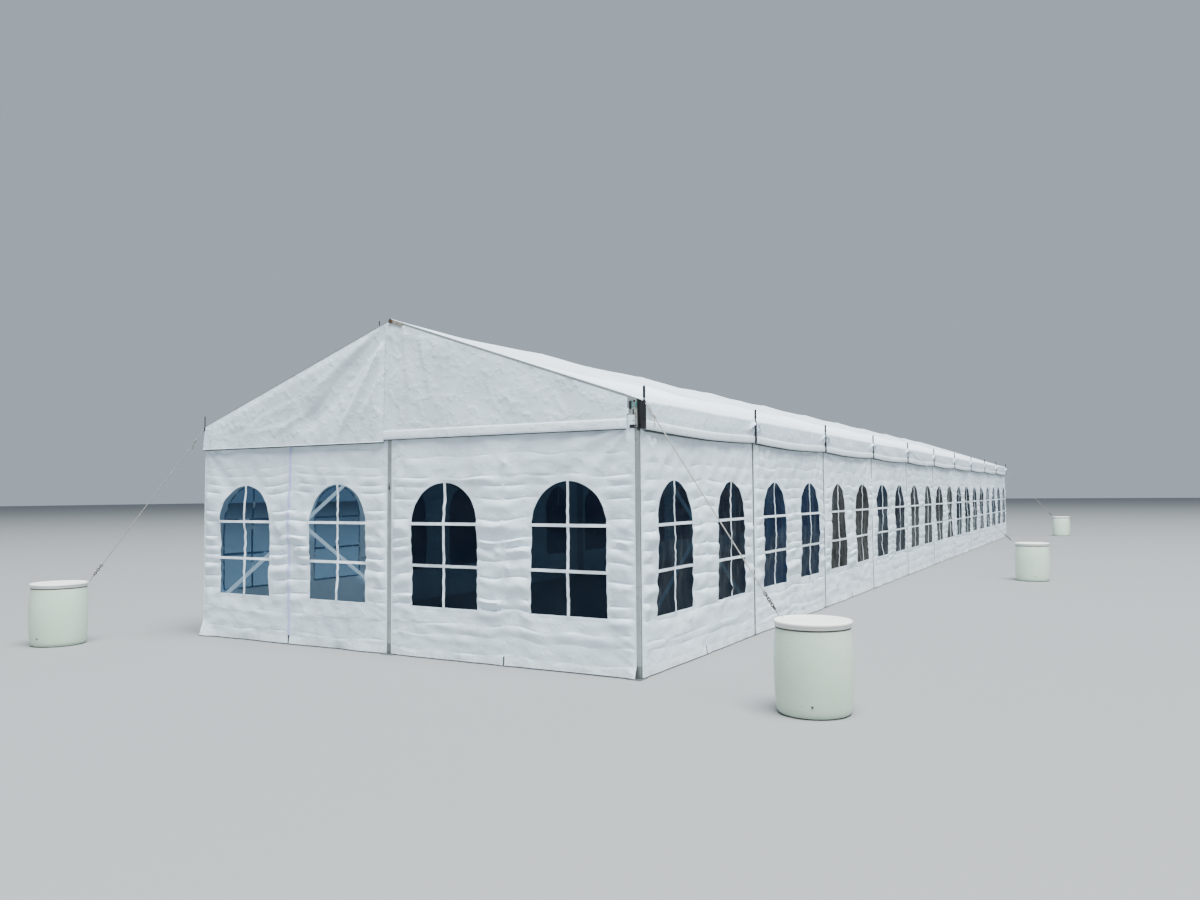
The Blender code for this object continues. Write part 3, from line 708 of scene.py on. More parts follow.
def depthInWindow(points, middle):
    # how far a place lies inside the window's edge
    s, z = points[:, 0] - middle, points[:, 1]
    radius = windowLook["width"] / 2
    jamb = radius - np.abs(s)
    arch = radius - np.hypot(s, z - windowLook["spring"])
    depth = np.where(z > windowLook["spring"], arch, np.minimum(jamb, z - windowLook["sill"]))
    return np.maximum(depth, 0.0)


def belowTops(z):
    # 0 above the windows, 1 from their arches down
    return smoothStep((wallPanel["foldTop"] - z) / wallPanel["foldFade"])


def besideWindows(z):
    # 1 at the height of the windows, 0 well above or below them
    return smoothStep((z - wallPanel["foldFoot"]) / 0.16) * belowTops(z)


def windowWarp(seed):
    # small waves of the window edges and of the upright bars within the wall's plane
    dice = random.Random(seed)
    look = wallPanel
    waves = []
    for middle in windowLook["middles"]:
        for shift, depth in ((-0.42, look["jambWave"]), (0.0, look["barWave"]), (0.42, look["jambWave"])):
            waves.append((middle + shift, depth, dice.uniform(0.09, 0.13), dice.uniform(0, 6.3),
                          dice.uniform(0.21, 0.30), dice.uniform(0, 6.3)))

    def warp(points):
        s, z = points[:, 0], points[:, 1]
        total = np.zeros(len(points))
        inside = smoothStep((z - 0.58) / 0.12) * smoothStep((1.80 - z) / 0.25)
        for line, depth, short, shortPhase, long, longPhase in waves:
            quick = 0.8 * np.sin(2 * math.pi * z / short + shortPhase)
            slow = 0.3 * np.sin(2 * math.pi * z / long + longPhase)
            total += depth * (quick + slow) * inside * hump(s - line, 0.055)
        return total
    return warp


def creaseLines(dice, low, high, gap, uneven=0.30):
    lines = [low]
    while lines[-1] < high:
        lines.append(lines[-1] + gap * dice.uniform(1 - uneven, 1 + uneven))
    return np.array(lines)


def pillows(level, marks, depths, rounding, notch=0.0, lean=1.0):
    # rounded folds between sharp valleys at the marks, fuller towards the upper valley
    place = np.interp(level, marks, np.arange(len(marks)))
    whole = np.clip(place.astype(int), 0, len(marks) - 2)
    part = np.abs(np.sin(math.pi * np.clip(place - whole, 0, 1) ** lean))
    nearest = np.minimum(place - whole, 1 - (place - whole)) * (marks[whole + 1] - marks[whole])
    groove = notch * hump(nearest, wallPanel["notchHalf"])
    return depths[whole] * (np.sqrt(part ** 2 + rounding ** 2) - rounding) - groove


def alongValleys(level, marks, samples, offsets):
    # places on the valleys of a folded cloth, and close above and below them
    rows = []
    for mark in marks:
        z = np.full(len(samples), float(mark))
        for _ in range(6):
            z = z + mark - level(np.column_stack((samples, z)))
        rows += [np.column_stack((samples, z + offset)) for offset in offsets]
    return np.vstack(rows)


def besideLine(s, z, start, end):
    # how far each place lies along a line and beside it, and the line's length
    runS, runZ = end[0] - start[0], end[1] - start[1]
    length = math.hypot(runS, runZ)
    along = ((s - start[0]) * runS + (z - start[1]) * runZ) / length
    gap = ((s - start[0]) * runZ - (z - start[1]) * runS) / length
    return along, gap, length


def creaseStrength(points, share):
    # strong beside the windows, weak inside them, along their edges and elsewhere
    s, z = points[:, 0], points[:, 1]
    look, window = wallPanel, windowLook
    strength = look["elsewhere"] + (look["besideWindow"] - look["elsewhere"]) * besideWindows(z)
    strength *= np.clip(0.80 + 0.62 * share, 0.05, 1.4)
    for middle in window["middles"]:
        strength *= 1 - (1 - look["inWindow"]) * smoothStep(depthInWindow(points, middle) / 0.08)
        jamb = np.abs(s - middle) - window["width"] / 2
        calm = hump(np.maximum(jamb, 0), 0.05) * smoothStep((z - window["sill"] + 0.10) / 0.08)
        strength *= 1 - look["atJamb"] * calm * belowTops(z)
        sill = hump(z - window["sill"], 0.08) * smoothStep((0.04 - jamb) / 0.10)
        strength *= 1 - look["atSill"] * sill
        besideArch = np.hypot(s - middle, z - window["spring"]) - window["width"] / 2
        calm = hump(np.maximum(besideArch, 0), 0.07) * smoothStep((z - window["spring"]) / 0.12)
        strength *= 1 - (1 - look["aboveArch"]) * calm
    return strength


def addPulls(total, s, z, pulls):
    # fans of folds around the places where a cloth is pulled
    for pullS, pullZ, reach, depth, count in pulls:
        alongS, alongZ = s - pullS, z - pullZ
        distance = np.hypot(alongS, alongZ)
        angle = np.arctan2(np.abs(alongZ), np.abs(alongS))
        ring = hump(distance - reach * 0.4, reach * 0.45)
        total += depth * ring * np.sin(angle * count + pullS)


def addLongFolds(total, s, z, folds, wobble):
    # straight creases, sharp on one side and soft on the other
    for first, last, depth, width in folds:
        along, gap, length = besideLine(s, z, first, last)
        gap = gap + 0.012 * wobble
        fade = smoothStep(along / 0.15 + 0.5) * smoothStep((length - along) / 0.15 + 0.5)
        total += depth * fade * hump(gap, np.where(gap > 0, width, width * 2.6))


def addKnots(total, s, z, knots):
    # short creases that cross in one place
    for knotS, knotZ, turn in knots:
        for step in range(3):
            angle = turn + step * 1.1
            along = (s - knotS) * math.cos(angle) + (z - knotZ) * math.sin(angle)
            gap = (z - knotZ) * math.cos(angle) - (s - knotS) * math.sin(angle)
            total += wallPanel["knot"] * np.exp(-(gap / 0.022) ** 2 - (along / 0.09) ** 2)


def wallField(seed, start, end, pulls=(), knots=(), long=(), gathered=True):
    look = wallPanel
    top = look["top"]
    dice = random.Random(seed)
    lines = creaseLines(dice, -0.12, top + 0.2, look["creaseGap"], 0.45)
    depths = np.array([dice.uniform(0.45, 1.45) for _ in lines])
    wobble = softNoise(dice.random(), 0.75, 1.2, 6)
    share = softNoise(dice.random(), 0.42, 0.24, 7)
    swell = softNoise(dice.random(), 1.4, 0.9, 6)
    gather = softNoise(dice.random(), 0.17, 3.0, 7)
    flare = softNoise(dice.random(), 0.7, 2.0, 5)
    rumple = softNoise(dice.random(), 0.33, 0.22, 8)
    seamTilt = dice.uniform(0.012, 0.032)

    def level(points):
        return (points[:, 1] + 0.018 * wobble(points)
                - seamTilt * np.exp(-np.abs(points[:, 0] - seamAt) / 0.14))

    ends = []
    for edge, side in ((start, 1), (end, -1)):
        marks = creaseLines(dice, -0.2, top + 0.6, look["puckerGap"])
        puckers = np.array([dice.uniform(0.1, 1.4) for _ in marks])
        change = softNoise(dice.random(), 0.5, 0.25, 5)

        def risen(points, edge=edge, side=side, change=change):
            gap = (points[:, 0] - edge) * side
            return points[:, 1] - look["puckerRise"] * gap + 0.010 * change(points)

        ends.append((edge, side, marks, puckers, change, risen))

    def out(points):
        s, z = points[:, 0], points[:, 1]
        edge = np.minimum(s - start, end - s)
        free = smoothStep(edge / 0.09)
        total = look["billow"] * np.sin(math.pi * np.clip(z / top, 0, 1)) * (1 + 0.8 * swell(points))
        total += 0.003 * rumple(points)
        folds = pillows(level(points), lines, depths, look["creaseRound"],
                        look["notch"] / look["creaseDepth"], look["creaseLean"])
        total += look["creaseDepth"] * creaseStrength(points, share(points)) * folds
        if gathered:
            near = fading(top - 0.1 - z, look["gatherReach"])
            total += look["gather"] * near * (gather(points) + 0.4)
        addPulls(total, s, z, pulls)
        addLongFolds(total, s, z, long, wobble(points))
        addKnots(total, s, z, knots)
        total *= free
        ground = fading(z, 0.10)
        total += look["flare"] * ground * (0.8 + 0.6 * flare(points)) * smoothStep(edge / 0.25)
        for edge, side, marks, puckers, change, risen in ends:
            gap = (s - edge) * side
            reached = fading(gap, look["puckerReach"]) * smoothStep(gap / 0.045)
            folds = pillows(risen(points), marks, puckers, 0.12)
            total += look["pucker"] * reached * folds * (0.75 + 0.35 * change(points))
        return np.maximum(total, -0.018 * free)

    def rows(step):
        inner = np.linspace(start + 0.006, end - 0.006, math.ceil((end - start) / step))
        offsets = (-0.024, -0.009, 0.0, 0.009, 0.024) if step < 0.035 else (-0.012, 0.0, 0.012)
        if step > 0.065:
            offsets = (0.0, 0.014)
        found = [alongValleys(level, lines[(lines > 0) & (lines < top)], inner, offsets)]
        for edge, side, marks, _, _, risen in ends:
            close = edge + side * np.linspace(0.006, 0.13, 7 if step < 0.035 else 4)
            found.append(alongValleys(risen, marks[(marks > -0.02) & (marks < top)], close, (0.0,)))
        rows = np.vstack(found)
        kept = clearOf(rows[len(found[0]):], found[0], 0.006)
        return np.vstack((found[0], rows[len(found[0]):][kept]))

    return out, rows


def filmField(wallOut, middle, seed):
    # the film is welded behind the wall and ripples more than it
    ripple = softNoise(seed, 0.11, 0.9, 6)
    swell = softNoise(seed + 1, 0.42, 0.30, 6)

    def out(points):
        loose = smoothStep(depthInWindow(points, middle) / 0.15)
        behind = tent["clothThickness"] + 0.0008
        wave = windowLook["ripple"] * (0.45 * ripple(points) + 0.40 * swell(points) - 0.4)
        return wallOut(points) - behind + loose * wave
    return out


def barField(wallOut, filmOut, middle, seed):
    # the bars pucker where they are stitched to the film
    pucker = softNoise(seed, 9.0, 0.105, 4)

    def out(points):
        depth = depthInWindow(points, middle)
        onWall = 1 - smoothStep(depth / 0.050)
        loose = windowLook["barRipple"] * np.maximum(pucker(points), -0.1) * smoothStep(depth / 0.12)
        return filmOut(points) + loose + (wallOut(points) - filmOut(points) + 0.0006) * onWall
    return out


filmPatterns = {}


def filmPattern(step):
    # every film has one outline, so films with one step share their pattern
    if step not in filmPatterns:
        filmPatterns[step] = flatPattern(windowLoop(0.0, windowLook["lap"]), [], step)
    return filmPatterns[step]


def windowParts(place, wallOut, middle, seed, step, finish):
    # film, welded rim and white bars of one window
    filmOut = filmField(wallOut, middle, seed)
    filmSurface = clothSurface(place, filmOut)
    wallSurface = clothSurface(place, wallOut)
    barSurface = clothSurface(place, barField(wallOut, filmOut, middle, seed + 3))
    look = windowLook
    radius = look["width"] / 2
    film = sheetShell(filmPattern(max(step * 1.4, 0.04)), lambda points: filmSurface(points + (middle, 0.0)),
                      look["filmThickness"], finish)
    rim = dividedLoop(windowLoop(middle, look["rimGap"]), min(step, 0.03))
    bars = [
        straightPath((middle, look["sill"] - look["barOver"] * 0.3),
                     (middle, look["spring"] + radius + look["barOver"] * 0.3), 0.02),
    ]
    for height in (look["middleBar"], look["spring"]):
        bars.append(straightPath((middle - radius - look["barOver"], height),
                                 (middle + radius + look["barOver"], height), 0.02))
    shells = [ribbonShell(rim, look["rimHalf"], wallSurface, seatGap, 0.0010, "wall_white", closed=True)]
    for index, bar in enumerate(bars):
        shells.append(ribbonShell(bar, look["barHalf"], barSurface, 0.0022 + 0.0004 * index,
                                  look["barThickness"], "hem_white"))
    return film, shells


def beadShell(path, surface, radius, sink=0.0012):
    # round bead along the edge of a cloth, sunk a little into it
    path = np.array(path, float)
    run = np.gradient(path, axis=0)
    run /= np.linalg.norm(run, axis=1)[:, None]
    side = np.column_stack((run[:, 1], -run[:, 0]))
    rings = []
    for index in range(6):
        angle = 2 * math.pi * index / 6
        lift = radius * math.sin(angle) - sink
        rings.append(surface(path + side * radius * math.cos(angle), lift))
    return sweptShell(np.stack(rings, axis=1), "hem_white")


def wallPanelPiece(name, wallName, bay, step, seed, details):
    wall = walls[wallName]
    gable = "gable" in wallName
    bays = tent["gableBays"] if gable else tent["bays"]
    slot = tent["postSlot"] if gable else tent["wallSlot"]
    shift = bay * tent["bay"]
    start = details.get("corner", tent["cornerStrip"]) if bay == 0 else slot / 2
    end = tent["bay"] - (tent["cornerStrip"] if bay == bays - 1 else slot / 2)
    look = wallPanel
    ground = tent["groundGap"]
    outline = [(start, ground), (seamAt - look["slitHalf"], ground), (seamAt, look["slitHeight"]),
               (seamAt + look["slitHalf"], ground), (end, ground), (end, wallTop), (start, wallTop)]
    wallOut, rows = wallField(seed, start, end, details.get("pulls", ()), details.get("knots", ()),
                              details.get("long", ()), gathered=not gable)
    if "flap" in details:
        wallOut = flappedField(wallOut, details["flap"])
    place = placeOnWall(wall, shift, windowWarp(seed + 5))
    surface = clothSurface(place, wallOut)
    holes = [windowLoop(middle) for middle in windowLook["middles"]]
    pattern = flatPattern(outline, holes, step, rows(step), min(step, 0.042))
    shells = [sheetShell(pattern, surface, tent["clothThickness"], "wall_white", (shift, 0.0))]
    films = []
    for index, middle in enumerate(windowLook["middles"]):
        film, parts = windowParts(place, wallOut, middle, seed * 7 + index, step, details["film"])
        films.append(film)
        shells += parts
    seam = straightPath((seamAt, look["slitHeight"] + 0.01), (seamAt, wallTop - 0.01), 0.025)
    shells.append(ribbonShell(seam, look["seamHalf"], surface, seatGap, 0.0009,
                              details.get("seam", "wall_white")))
    # painted shade: a dark tab in the slit at the foot of the seam
    tab = straightPath((seamAt, ground + 0.002), (seamAt, look["slitHeight"] + 0.012), 0.03)
    shells.append(ribbonShell(tab, look["slitHalf"] * 1.15, surface, 0.0006, 0.0010, "edge_dark"))
    band = ground + look["bandHeight"] / 2 + 0.002
    for low, high in ((start + 0.004, seamAt - 0.012), (seamAt + 0.012, end - 0.004)):
        path = straightPath((low, band), (high, band), 0.03)
        shells.append(ribbonShell(path, look["bandHeight"] / 2, surface, seatGap, 0.0011, "hem_white"))
    for s in (start + look["beadRadius"], end - look["beadRadius"]):
        path = straightPath((s, ground + 0.004), (s, wallTop - 0.004), 0.036)
        shells.append(beadShell(path, surface, look["beadRadius"]))
    piece = makePiece(name, shells)
    return piece, films, surface


def flappedField(wallOut, flap):
    # a lower corner that hangs free and curls outwards
    def out(points):
        near = smoothStep(1 - np.abs(points[:, 0] - flap["corner"]) / flap["width"])
        low = smoothStep(1 - points[:, 1] / flap["height"])
        return wallOut(points) + flap["out"] * near * low
    return out


def archArea(width, upright):
    return width * upright + math.pi * (width / 2) ** 2 / 2


def sideDetails(dice):
    # knots, pulls and long folds of a side panel
    draw = dice.uniform
    return {
        "knots": [(draw(0.2, 2.8), draw(0.3, 2.2), draw(0, 3)) for _ in range(7)],
        "pulls": [(leg, 2.35, draw(0.7, 1.2), 0.006, dice.randint(9, 14)) for leg in (0.02, 2.98)],
        "long": (((draw(0.1, 0.5), draw(0.20, 0.30)), (1.4, draw(0.16, 0.34)), 0.007, 0.03),
                 ((1.6, draw(0.18, 0.34)), (2.8, draw(0.18, 0.34)), 0.007, 0.03)),
    }


def dressWall(wallName, cadNodes, filmNode, steps, seed, details=None, films=None):
    look = windowLook
    upright, lapped = look["spring"] - look["sill"], look["width"] + 2 * look["lap"]
    filmArea = round(archArea(lapped, upright + look["lap"]), 3)
    windows = 2 * archArea(look["width"], upright)
    holders = {"near_gable": ["arch_frame_1"], "far_gable": [f"arch_frame_{tent['bays'] + 1}"]}
    bays = tent["gableBays"] if "gable" in wallName else tent["bays"]
    surfaces = []
    count = 0
    for bay in range(bays):
        given = (details or {}).get(bay, {})
        if not given and "side" in wallName:
            given = sideDetails(random.Random(seed * 3 + bay))
        given = {**given, "film": (films or {}).get(bay, given.get("film", "window_sheet"))}
        step = steps[0] if bay < 3 else steps[1]
        piece, panes, surface = wallPanelPiece(
            f"{wallName}_panel_{bay + 1}", wallName, bay, step, seed + bay * 13, given)
        surfaces.append(surface)
        putOnFrame(piece, "wall_fabric", *([cadNodes[bay]] if len(cadNodes) > 1 else cadNodes))
        first = bay + 1 if wallName == "right_side" else tent["bays"] - bay
        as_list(holders.get(wallName, [f"arch_frame_{first}", f"arch_frame_{first + 1}"]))
        for film in panes:
            count += 1
            pane = makePiece(f"{wallName}_window_{count}", [film])
            putOnFrame(pane, "window_film", filmNode)
    print(wallName, "dressed:", bays, "panels and", count, "windows")
    return surfaces


# Knots are (along, height, turn); pulls are (along, height, reach, depth, count); long creases have
# two ends, a depth and a width, all from each bay's left leg
nearGable = {
    0: {
        "seam": "zip_tape", "corner": tent["leftCornerStrip"], "film": "window_clear",
        "flap": {"corner": 0.012, "width": 0.30, "height": 0.22, "out": 0.055},
        "pulls": ((0.01, 2.36, 1.0, 0.006, 12), (2.97, 2.36, 0.8, 0.004, 10)),
        "long": (((0.15, 0.40), (1.40, 0.30), 0.008, 0.028), ((1.60, 0.33), (2.90, 0.36), 0.008, 0.028),
                 ((0.30, 0.22), (1.35, 0.15), 0.006, 0.026), ((1.55, 1.03), (1.83, 1.06), 0.009, 0.022)),
        "knots": ((1.62, 1.08, 0.3), (1.35, 1.30, 1.2)),
    },
    1: {
        "flap": {"corner": 2.97, "width": 0.13, "height": 0.15, "out": 0.040},
        "pulls": ((2.96, 2.36, 1.15, 0.008, 14), (0.03, 2.36, 0.7, 0.004, 9)),
        "long": (((0.08, 0.40), (1.35, 0.30), 0.009, 0.028), ((1.53, 0.36), (2.75, 0.30), 0.009, 0.028),
                 ((0.15, 0.24), (1.30, 0.20), 0.006, 0.026), ((0.70, 1.85), (1.45, 1.84), 0.007, 0.024),
                 ((1.52, 1.90), (2.05, 1.91), 0.008, 0.024)),
        "knots": ((1.44, 1.12, 0.4), (1.56, 0.98, 1.9), (1.42, 0.62, 0.8), (1.52, 2.02, 1.4)),
    },
}
nearSurfaces = dressWall("near_gable", ["near_gable_wall_left", "near_gable_wall_right"], "near_gable_film",
                         (skinStep["nearGable"], skinStep["nearGable"]), 101, nearGable)
dressWall("right_side", ["right_side_wall"], "right_side_film", (skinStep["nearSide"], skinStep["side"]), 211,
          films={1: "window_blue", 2: "window_brown", 4: "window_brown", 5: "window_brown", 8: "window_blue"})
dressWall("left_side", ["left_side_wall"], "left_side_film",
          (skinStep["leftSide"], skinStep["leftSide"]), 307, films={tent["bays"] - 1: "window_clear"})
dressWall("far_gable", ["far_gable_wall_right", "far_gable_wall_left"], "far_gable_film",
          (skinStep["farGable"], skinStep["farGable"]), 401)


# Roof panels: over the ridge, sagging between the arches, folded down into valances with a padded hem

roofLook = {
    "seed": 500, "alongSteps": 34, "fineSlope": 0.7, "fineRidge": 0.12,
    "edgeSteps": (0.0, 0.012, 0.026, 0.042, 0.060, 0.082, 0.108, 0.14, 0.18),
    "upSteps": (13, 5, 13, 12, 5),  # on valance, fold, slope beside it, slope and ridge
    "sag": 0.030, "ridgeSag": 0.020, "ridgeWidth": 0.35, "ridgeDip": 0.010, "uneven": 0.005,
    "pleat": 0.0125, "pleatSize": 0.23, "pleatReach": 1.8, "pleatShift": 1.3,
    "valanceBelly": 0.010, "valanceWave": 0.007, "endGather": 0.0045, "endReach": 0.10, "endTuck": 0.004,
    "creases": 12, "creaseWidth": 0.014, "hemSag": 0.028,
    "hemHalf": 0.043, "hemThick": 0.0085, "hemSides": 12, "hemSquare": 0.75,
    "gableEdge": 0.015, "valanceEdge": 0.060, "crease": 0.0170, "shadeStripDrop": 0.022, "beadRadius": 0.0045,
}
foldAcross = valanceFace - tent["foldRadius"]
foldHeight = (ridgeTop - (rafterRidge - tent["eaveHeight"]) / halfSpan * foldAcross
              - tent["foldRadius"] / math.cos(roofAngle))
valanceRun = foldHeight - tent["valanceBottom"]
foldRun = tent["foldRadius"] * (math.pi / 2 - roofAngle)
slopeRun = (foldAcross + tent["foldRadius"] * math.sin(roofAngle)) / math.cos(roofAngle)
halfRun = valanceRun + foldRun + slopeRun


def roofSection(v):
    # x, z and outward normal at a distance v up from the hem of the right-hand valance
    side = np.where(v > halfRun, -1.0, 1.0)
    way = np.where(v > halfRun, 2 * halfRun - v, v)
    angle = np.clip((way - valanceRun) / tent["foldRadius"], 0, math.pi / 2 - roofAngle)
    up = np.minimum(way, valanceRun)
    slope = np.maximum(way - valanceRun - foldRun, 0)
    x = foldAcross + tent["foldRadius"] * np.cos(angle) - slope * math.cos(roofAngle)
    z = tent["valanceBottom"] + up + tent["foldRadius"] * np.sin(angle) + slope * math.sin(roofAngle)
    return x * side, z, np.cos(angle) * side, np.sin(angle)


def roofPlace(low):
    def place(points, fields):
        out, drop = fields
        x, z, normalX, normalZ = roofSection(points[:, 1])
        return np.column_stack((x + normalX * out, low + points[:, 0], z + normalZ * out - drop))
    return place


def valanceCreases(draw):
    # each crease starts at an end of the valance: gap, reach along and down, and depth
    creases = [(draw(0.0, 0.03), draw(0.05, 0.22), draw(0.08, 0.20), draw(0.3, 0.9))
               for _ in range(roofLook["creases"])]
    creases += [(0.0, math.sin(angle) * reach, math.cos(angle) * reach, draw(1.4, 1.9))
                for angle, reach in ((draw(0.35, 0.55), 0.24), (draw(0.30, 0.55), 0.22),
                                     (draw(0.8, 1.1), 0.30), (draw(0.8, 1.1), 0.26))]
    return creases


def addCreases(valance, u, way, ends, creases):
    look = roofLook
    for index, (first, reach, fall, depth) in enumerate(creases):
        gap = (u - ends[0]) if index % 2 else (ends[1] - u)
        height = way - valanceRun - 0.01
        if index % 4 > 1 and index < look["creases"]:
            height = -height
        length = math.hypot(reach, fall)
        along = ((gap - first) * reach - height * fall) / length
        off = ((gap - first) * fall + height * reach) / length
        fade = smoothStep(along / 0.03 + 0.2) * smoothStep((length - along) / (length * 0.7))
        crease = look["crease"] * depth * fade * hump(off, look["creaseWidth"])
        valance += crease * smoothStep((gap - 0.008) / 0.05)


def roofField(seed, ends, slopeEnds):
    look = roofLook
    dice = random.Random(seed)
    uneven = softNoise(dice.random(), 1.6, 1.3, 6)
    pleatShift = softNoise(dice.random(), 1.5, 0.6, 5)
    wave = softNoise(dice.random(), 0.8, 0.6, 6)
    ripple = softNoise(dice.random(), 0.05, 0.35, 7)
    hang = dice.uniform(0.35, 0.65)
    creases = valanceCreases(dice.uniform)

    def fields(points):
        u, v = points[:, 0], points[:, 1]
        way = np.where(v > halfRun, 2 * halfRun - v, v)
        onSlope = smoothStep((way - valanceRun - foldRun) / 0.30)
        onValance = 1 - smoothStep((way - valanceRun * 0.55) / (valanceRun * 0.5))
        share = np.clip((u - slopeEnds[0]) / (slopeEnds[1] - slopeEnds[0]), 0, 1)
        span = np.sin(math.pi * share)
        edge = np.minimum(u - slopeEnds[0], slopeEnds[1] - u)
        free = smoothStep((edge - 0.018) / 0.12)
        ridge = hump(way - halfRun, look["ridgeWidth"])
        total = -onSlope * span * (look["sag"] + (look["ridgeSag"] - look["sag"]) * ridge)
        total += onSlope * free * look["uneven"] * uneven(points)
        total -= look["ridgeDip"] * span * hump(way - halfRun, 0.05)
        above = np.maximum(way - valanceRun, 0)
        turn = math.pi * above / look["pleatSize"] + look["pleatShift"] * pleatShift(points)
        pleats = np.abs(np.sin(turn)) - 0.6
        pleated = np.exp(-above / look["pleatReach"]) * smoothStep(above / 0.05)
        total += look["pleat"] * span ** 0.5 * free * pleats * pleated
        valance = onValance * (look["valanceBelly"] * span + look["valanceWave"] * span * wave(points))
        end = np.minimum(u - ends[0], ends[1] - u)
        gather = fading(end, look["endReach"])
        atFold = smoothStep(1.4 - np.abs(way - valanceRun) / 0.2)
        valance += look["endGather"] * gather * ripple(points) * atFold
        valance -= look["endTuck"] * fading(end, 0.03) * onValance
        addCreases(valance, u, way, ends, creases)
        hung = np.sin(math.pi * share ** (0.7 + hang * 0.6))
        drop = look["hemSag"] * hung * onValance
        return total + valance, drop
    return fields


def roofSteps():
    # from hem to hem, finer at the valances, their folds and the ridge
    look = roofLook
    fold = valanceRun + foldRun
    marks = (0, valanceRun, fold, fold + look["fineSlope"], halfRun - look["fineRidge"], halfRun)
    parts = [np.linspace(low, high, count)[1:]
             for low, high, count in zip(marks, marks[1:], look["upSteps"])]
    half = np.concatenate(([0.0], *parts))
    return np.concatenate((half, (2 * halfRun - half)[::-1][1:]))


def alongSteps(low, high):
    near = np.array(roofLook["edgeSteps"])
    count = roofLook["alongSteps"] - 2 * len(near)
    middle = np.linspace(low + near[-1], high - near[-1], count + 2)[1:-1]
    return np.concatenate((low + near, middle, (high - near)[::-1]))


def roofEnds(bay):
    # where the slope and the valance of a cover start and end
    slopeEnds = [tent["roofSlot"] / 2, tent["bay"] - tent["roofSlot"] / 2]
    ends = [tent["wallSlot"] / 2, tent["bay"] - tent["wallSlot"] / 2]
    slopeGap, valanceGap = roofLook["gableEdge"], roofLook["valanceEdge"]
    if bay == 0:
        slopeEnds[0], ends[0] = slopeGap, valanceGap
    if bay == tent["bays"] - 1:
        slopeEnds[1], ends[1] = tent["bay"] - slopeGap, tent["bay"] - valanceGap
    return slopeEnds, ends


def roofPattern(slopeEnds, ends):
    wide = len(alongSteps(*slopeEnds))
    points, faces = [], []
    upSteps = roofSteps()
    for v in upSteps:
        way = 2 * halfRun - v if v > halfRun else v
        share = smoothStep((way - valanceRun + 0.03) / 0.06)
        first = ends[0] + (slopeEnds[0] - ends[0]) * share
        last = ends[1] + (slopeEnds[1] - ends[1]) * share
        points += [(u, v) for u in alongSteps(first, last)]
    for row in range(len(upSteps) - 1):
        for column in range(wide - 1):
            corner = row * wide + column
            faces.append((corner, corner + 1, corner + wide + 1, corner + wide))
    return np.array(points), np.array(faces)


def hemShell(surface, path, middle, look, upward, turned):
    # padded roll along a cloth's edge, squarer than an ellipse
    rings = []
    for index in range(look["hemSides"]):
        angle = 2 * math.pi * index / look["hemSides"]
        tall = look["hemHalf"] * math.copysign(abs(math.cos(angle)) ** look["hemSquare"], math.cos(angle))
        thick = look["hemThick"] * math.copysign(abs(math.sin(angle)) ** 0.8, math.sin(angle))
        points = np.column_stack((path, np.full(len(path), middle + upward * tall)))
        rings.append(surface(points, thick + 0.001))
    rings = np.stack(rings, axis=1)
    return sweptShell(rings[:, ::-1] if turned else rings, "hem_white")


def shadeStripShell(surface, v, low, high, outward):
    # dark strip of painted shade that hangs below the hem, for the shadow gap between hem and wall, deeper
    # towards the first end
    path = np.linspace(low, high, 64)
    share = (path - low) / (high - low)
    drop = roofLook["shadeStripDrop"] * (1.0 - 0.45 * share)
    rings = []
    for depth, lift in ((0.012, -0.0035), (0.012, -0.0075), (0.0, -0.0075), (0.0, -0.0035)):
        down = np.where(depth > 0, drop, -0.010)
        rings.append(surface(np.column_stack((path, v - outward * down)), lift))
    rings = np.stack(rings, axis=1)
    return sweptShell(rings if outward > 0 else rings[:, ::-1], "edge_dark")


def dressRoof():
    look = roofLook
    for bay in range(tent["bays"]):
        low = -halfLength + bay * tent["bay"]
        slopeEnds, ends = roofEnds(bay)
        fields = roofField(look["seed"] + bay * 17, ends, slopeEnds)
        surface = clothSurface(roofPlace(low), fields)
        pattern = roofPattern(slopeEnds, ends)
        shells = [sheetShell(pattern, surface, tent["clothThickness"], "roof_white", (low, 0.0))]
        for u in (slopeEnds[0] + 0.004, slopeEnds[1] - 0.004):
            bead = straightPath((u, valanceRun + foldRun), (u, 2 * halfRun - valanceRun - foldRun), 0.10)
            shells.append(beadShell(bead, surface, look["beadRadius"]))
        hemMiddle = look["hemHalf"] - 0.002
        for v, outward in ((hemMiddle, 1), (2 * halfRun - hemMiddle, -1)):
            path = np.linspace(ends[0] + 0.002, ends[1] - 0.002, 48)
            shells.append(hemShell(surface, path, v, look, outward, outward > 0))
        # painted shade strips below both hems
        for v, outward in ((0.0, 1), (2 * halfRun, -1)):
            shells.append(shadeStripShell(surface, v, ends[0] + 0.004, ends[1] - 0.004, outward))
        piece = makePiece(f"roof_cover_{bay + 1}", shells)
        putOnFrame(piece, "roof_fabric", f"roof_panel_{bay + 1}")
    print("roof dressed:", tent["bays"], "covers")


dressRoof()


# Gable tops: crumpled cloth in two halves that meet beside the post, leaning out to their hems

gableLook = {
    "seam": -0.060, "side": 2.895, "nearLeftSide": 2.992, "bottom": 2.296, "leftBottom": 2.268,
    "inset": 0.020, "lean": 0.030, "beadRadius": 0.005,
    "hemHalf": 0.048, "hemThick": 0.0085, "hemSides": 14, "hemSquare": 0.6,
    "crumple": 0.0034, "fineCrumple": 0.0012, "flapHalf": 0.020, "belly": 0.016,
    "step": {"near": 0.026, "far": 0.040}, "flat": (2.955, 1.30), "area": 2.275,
}
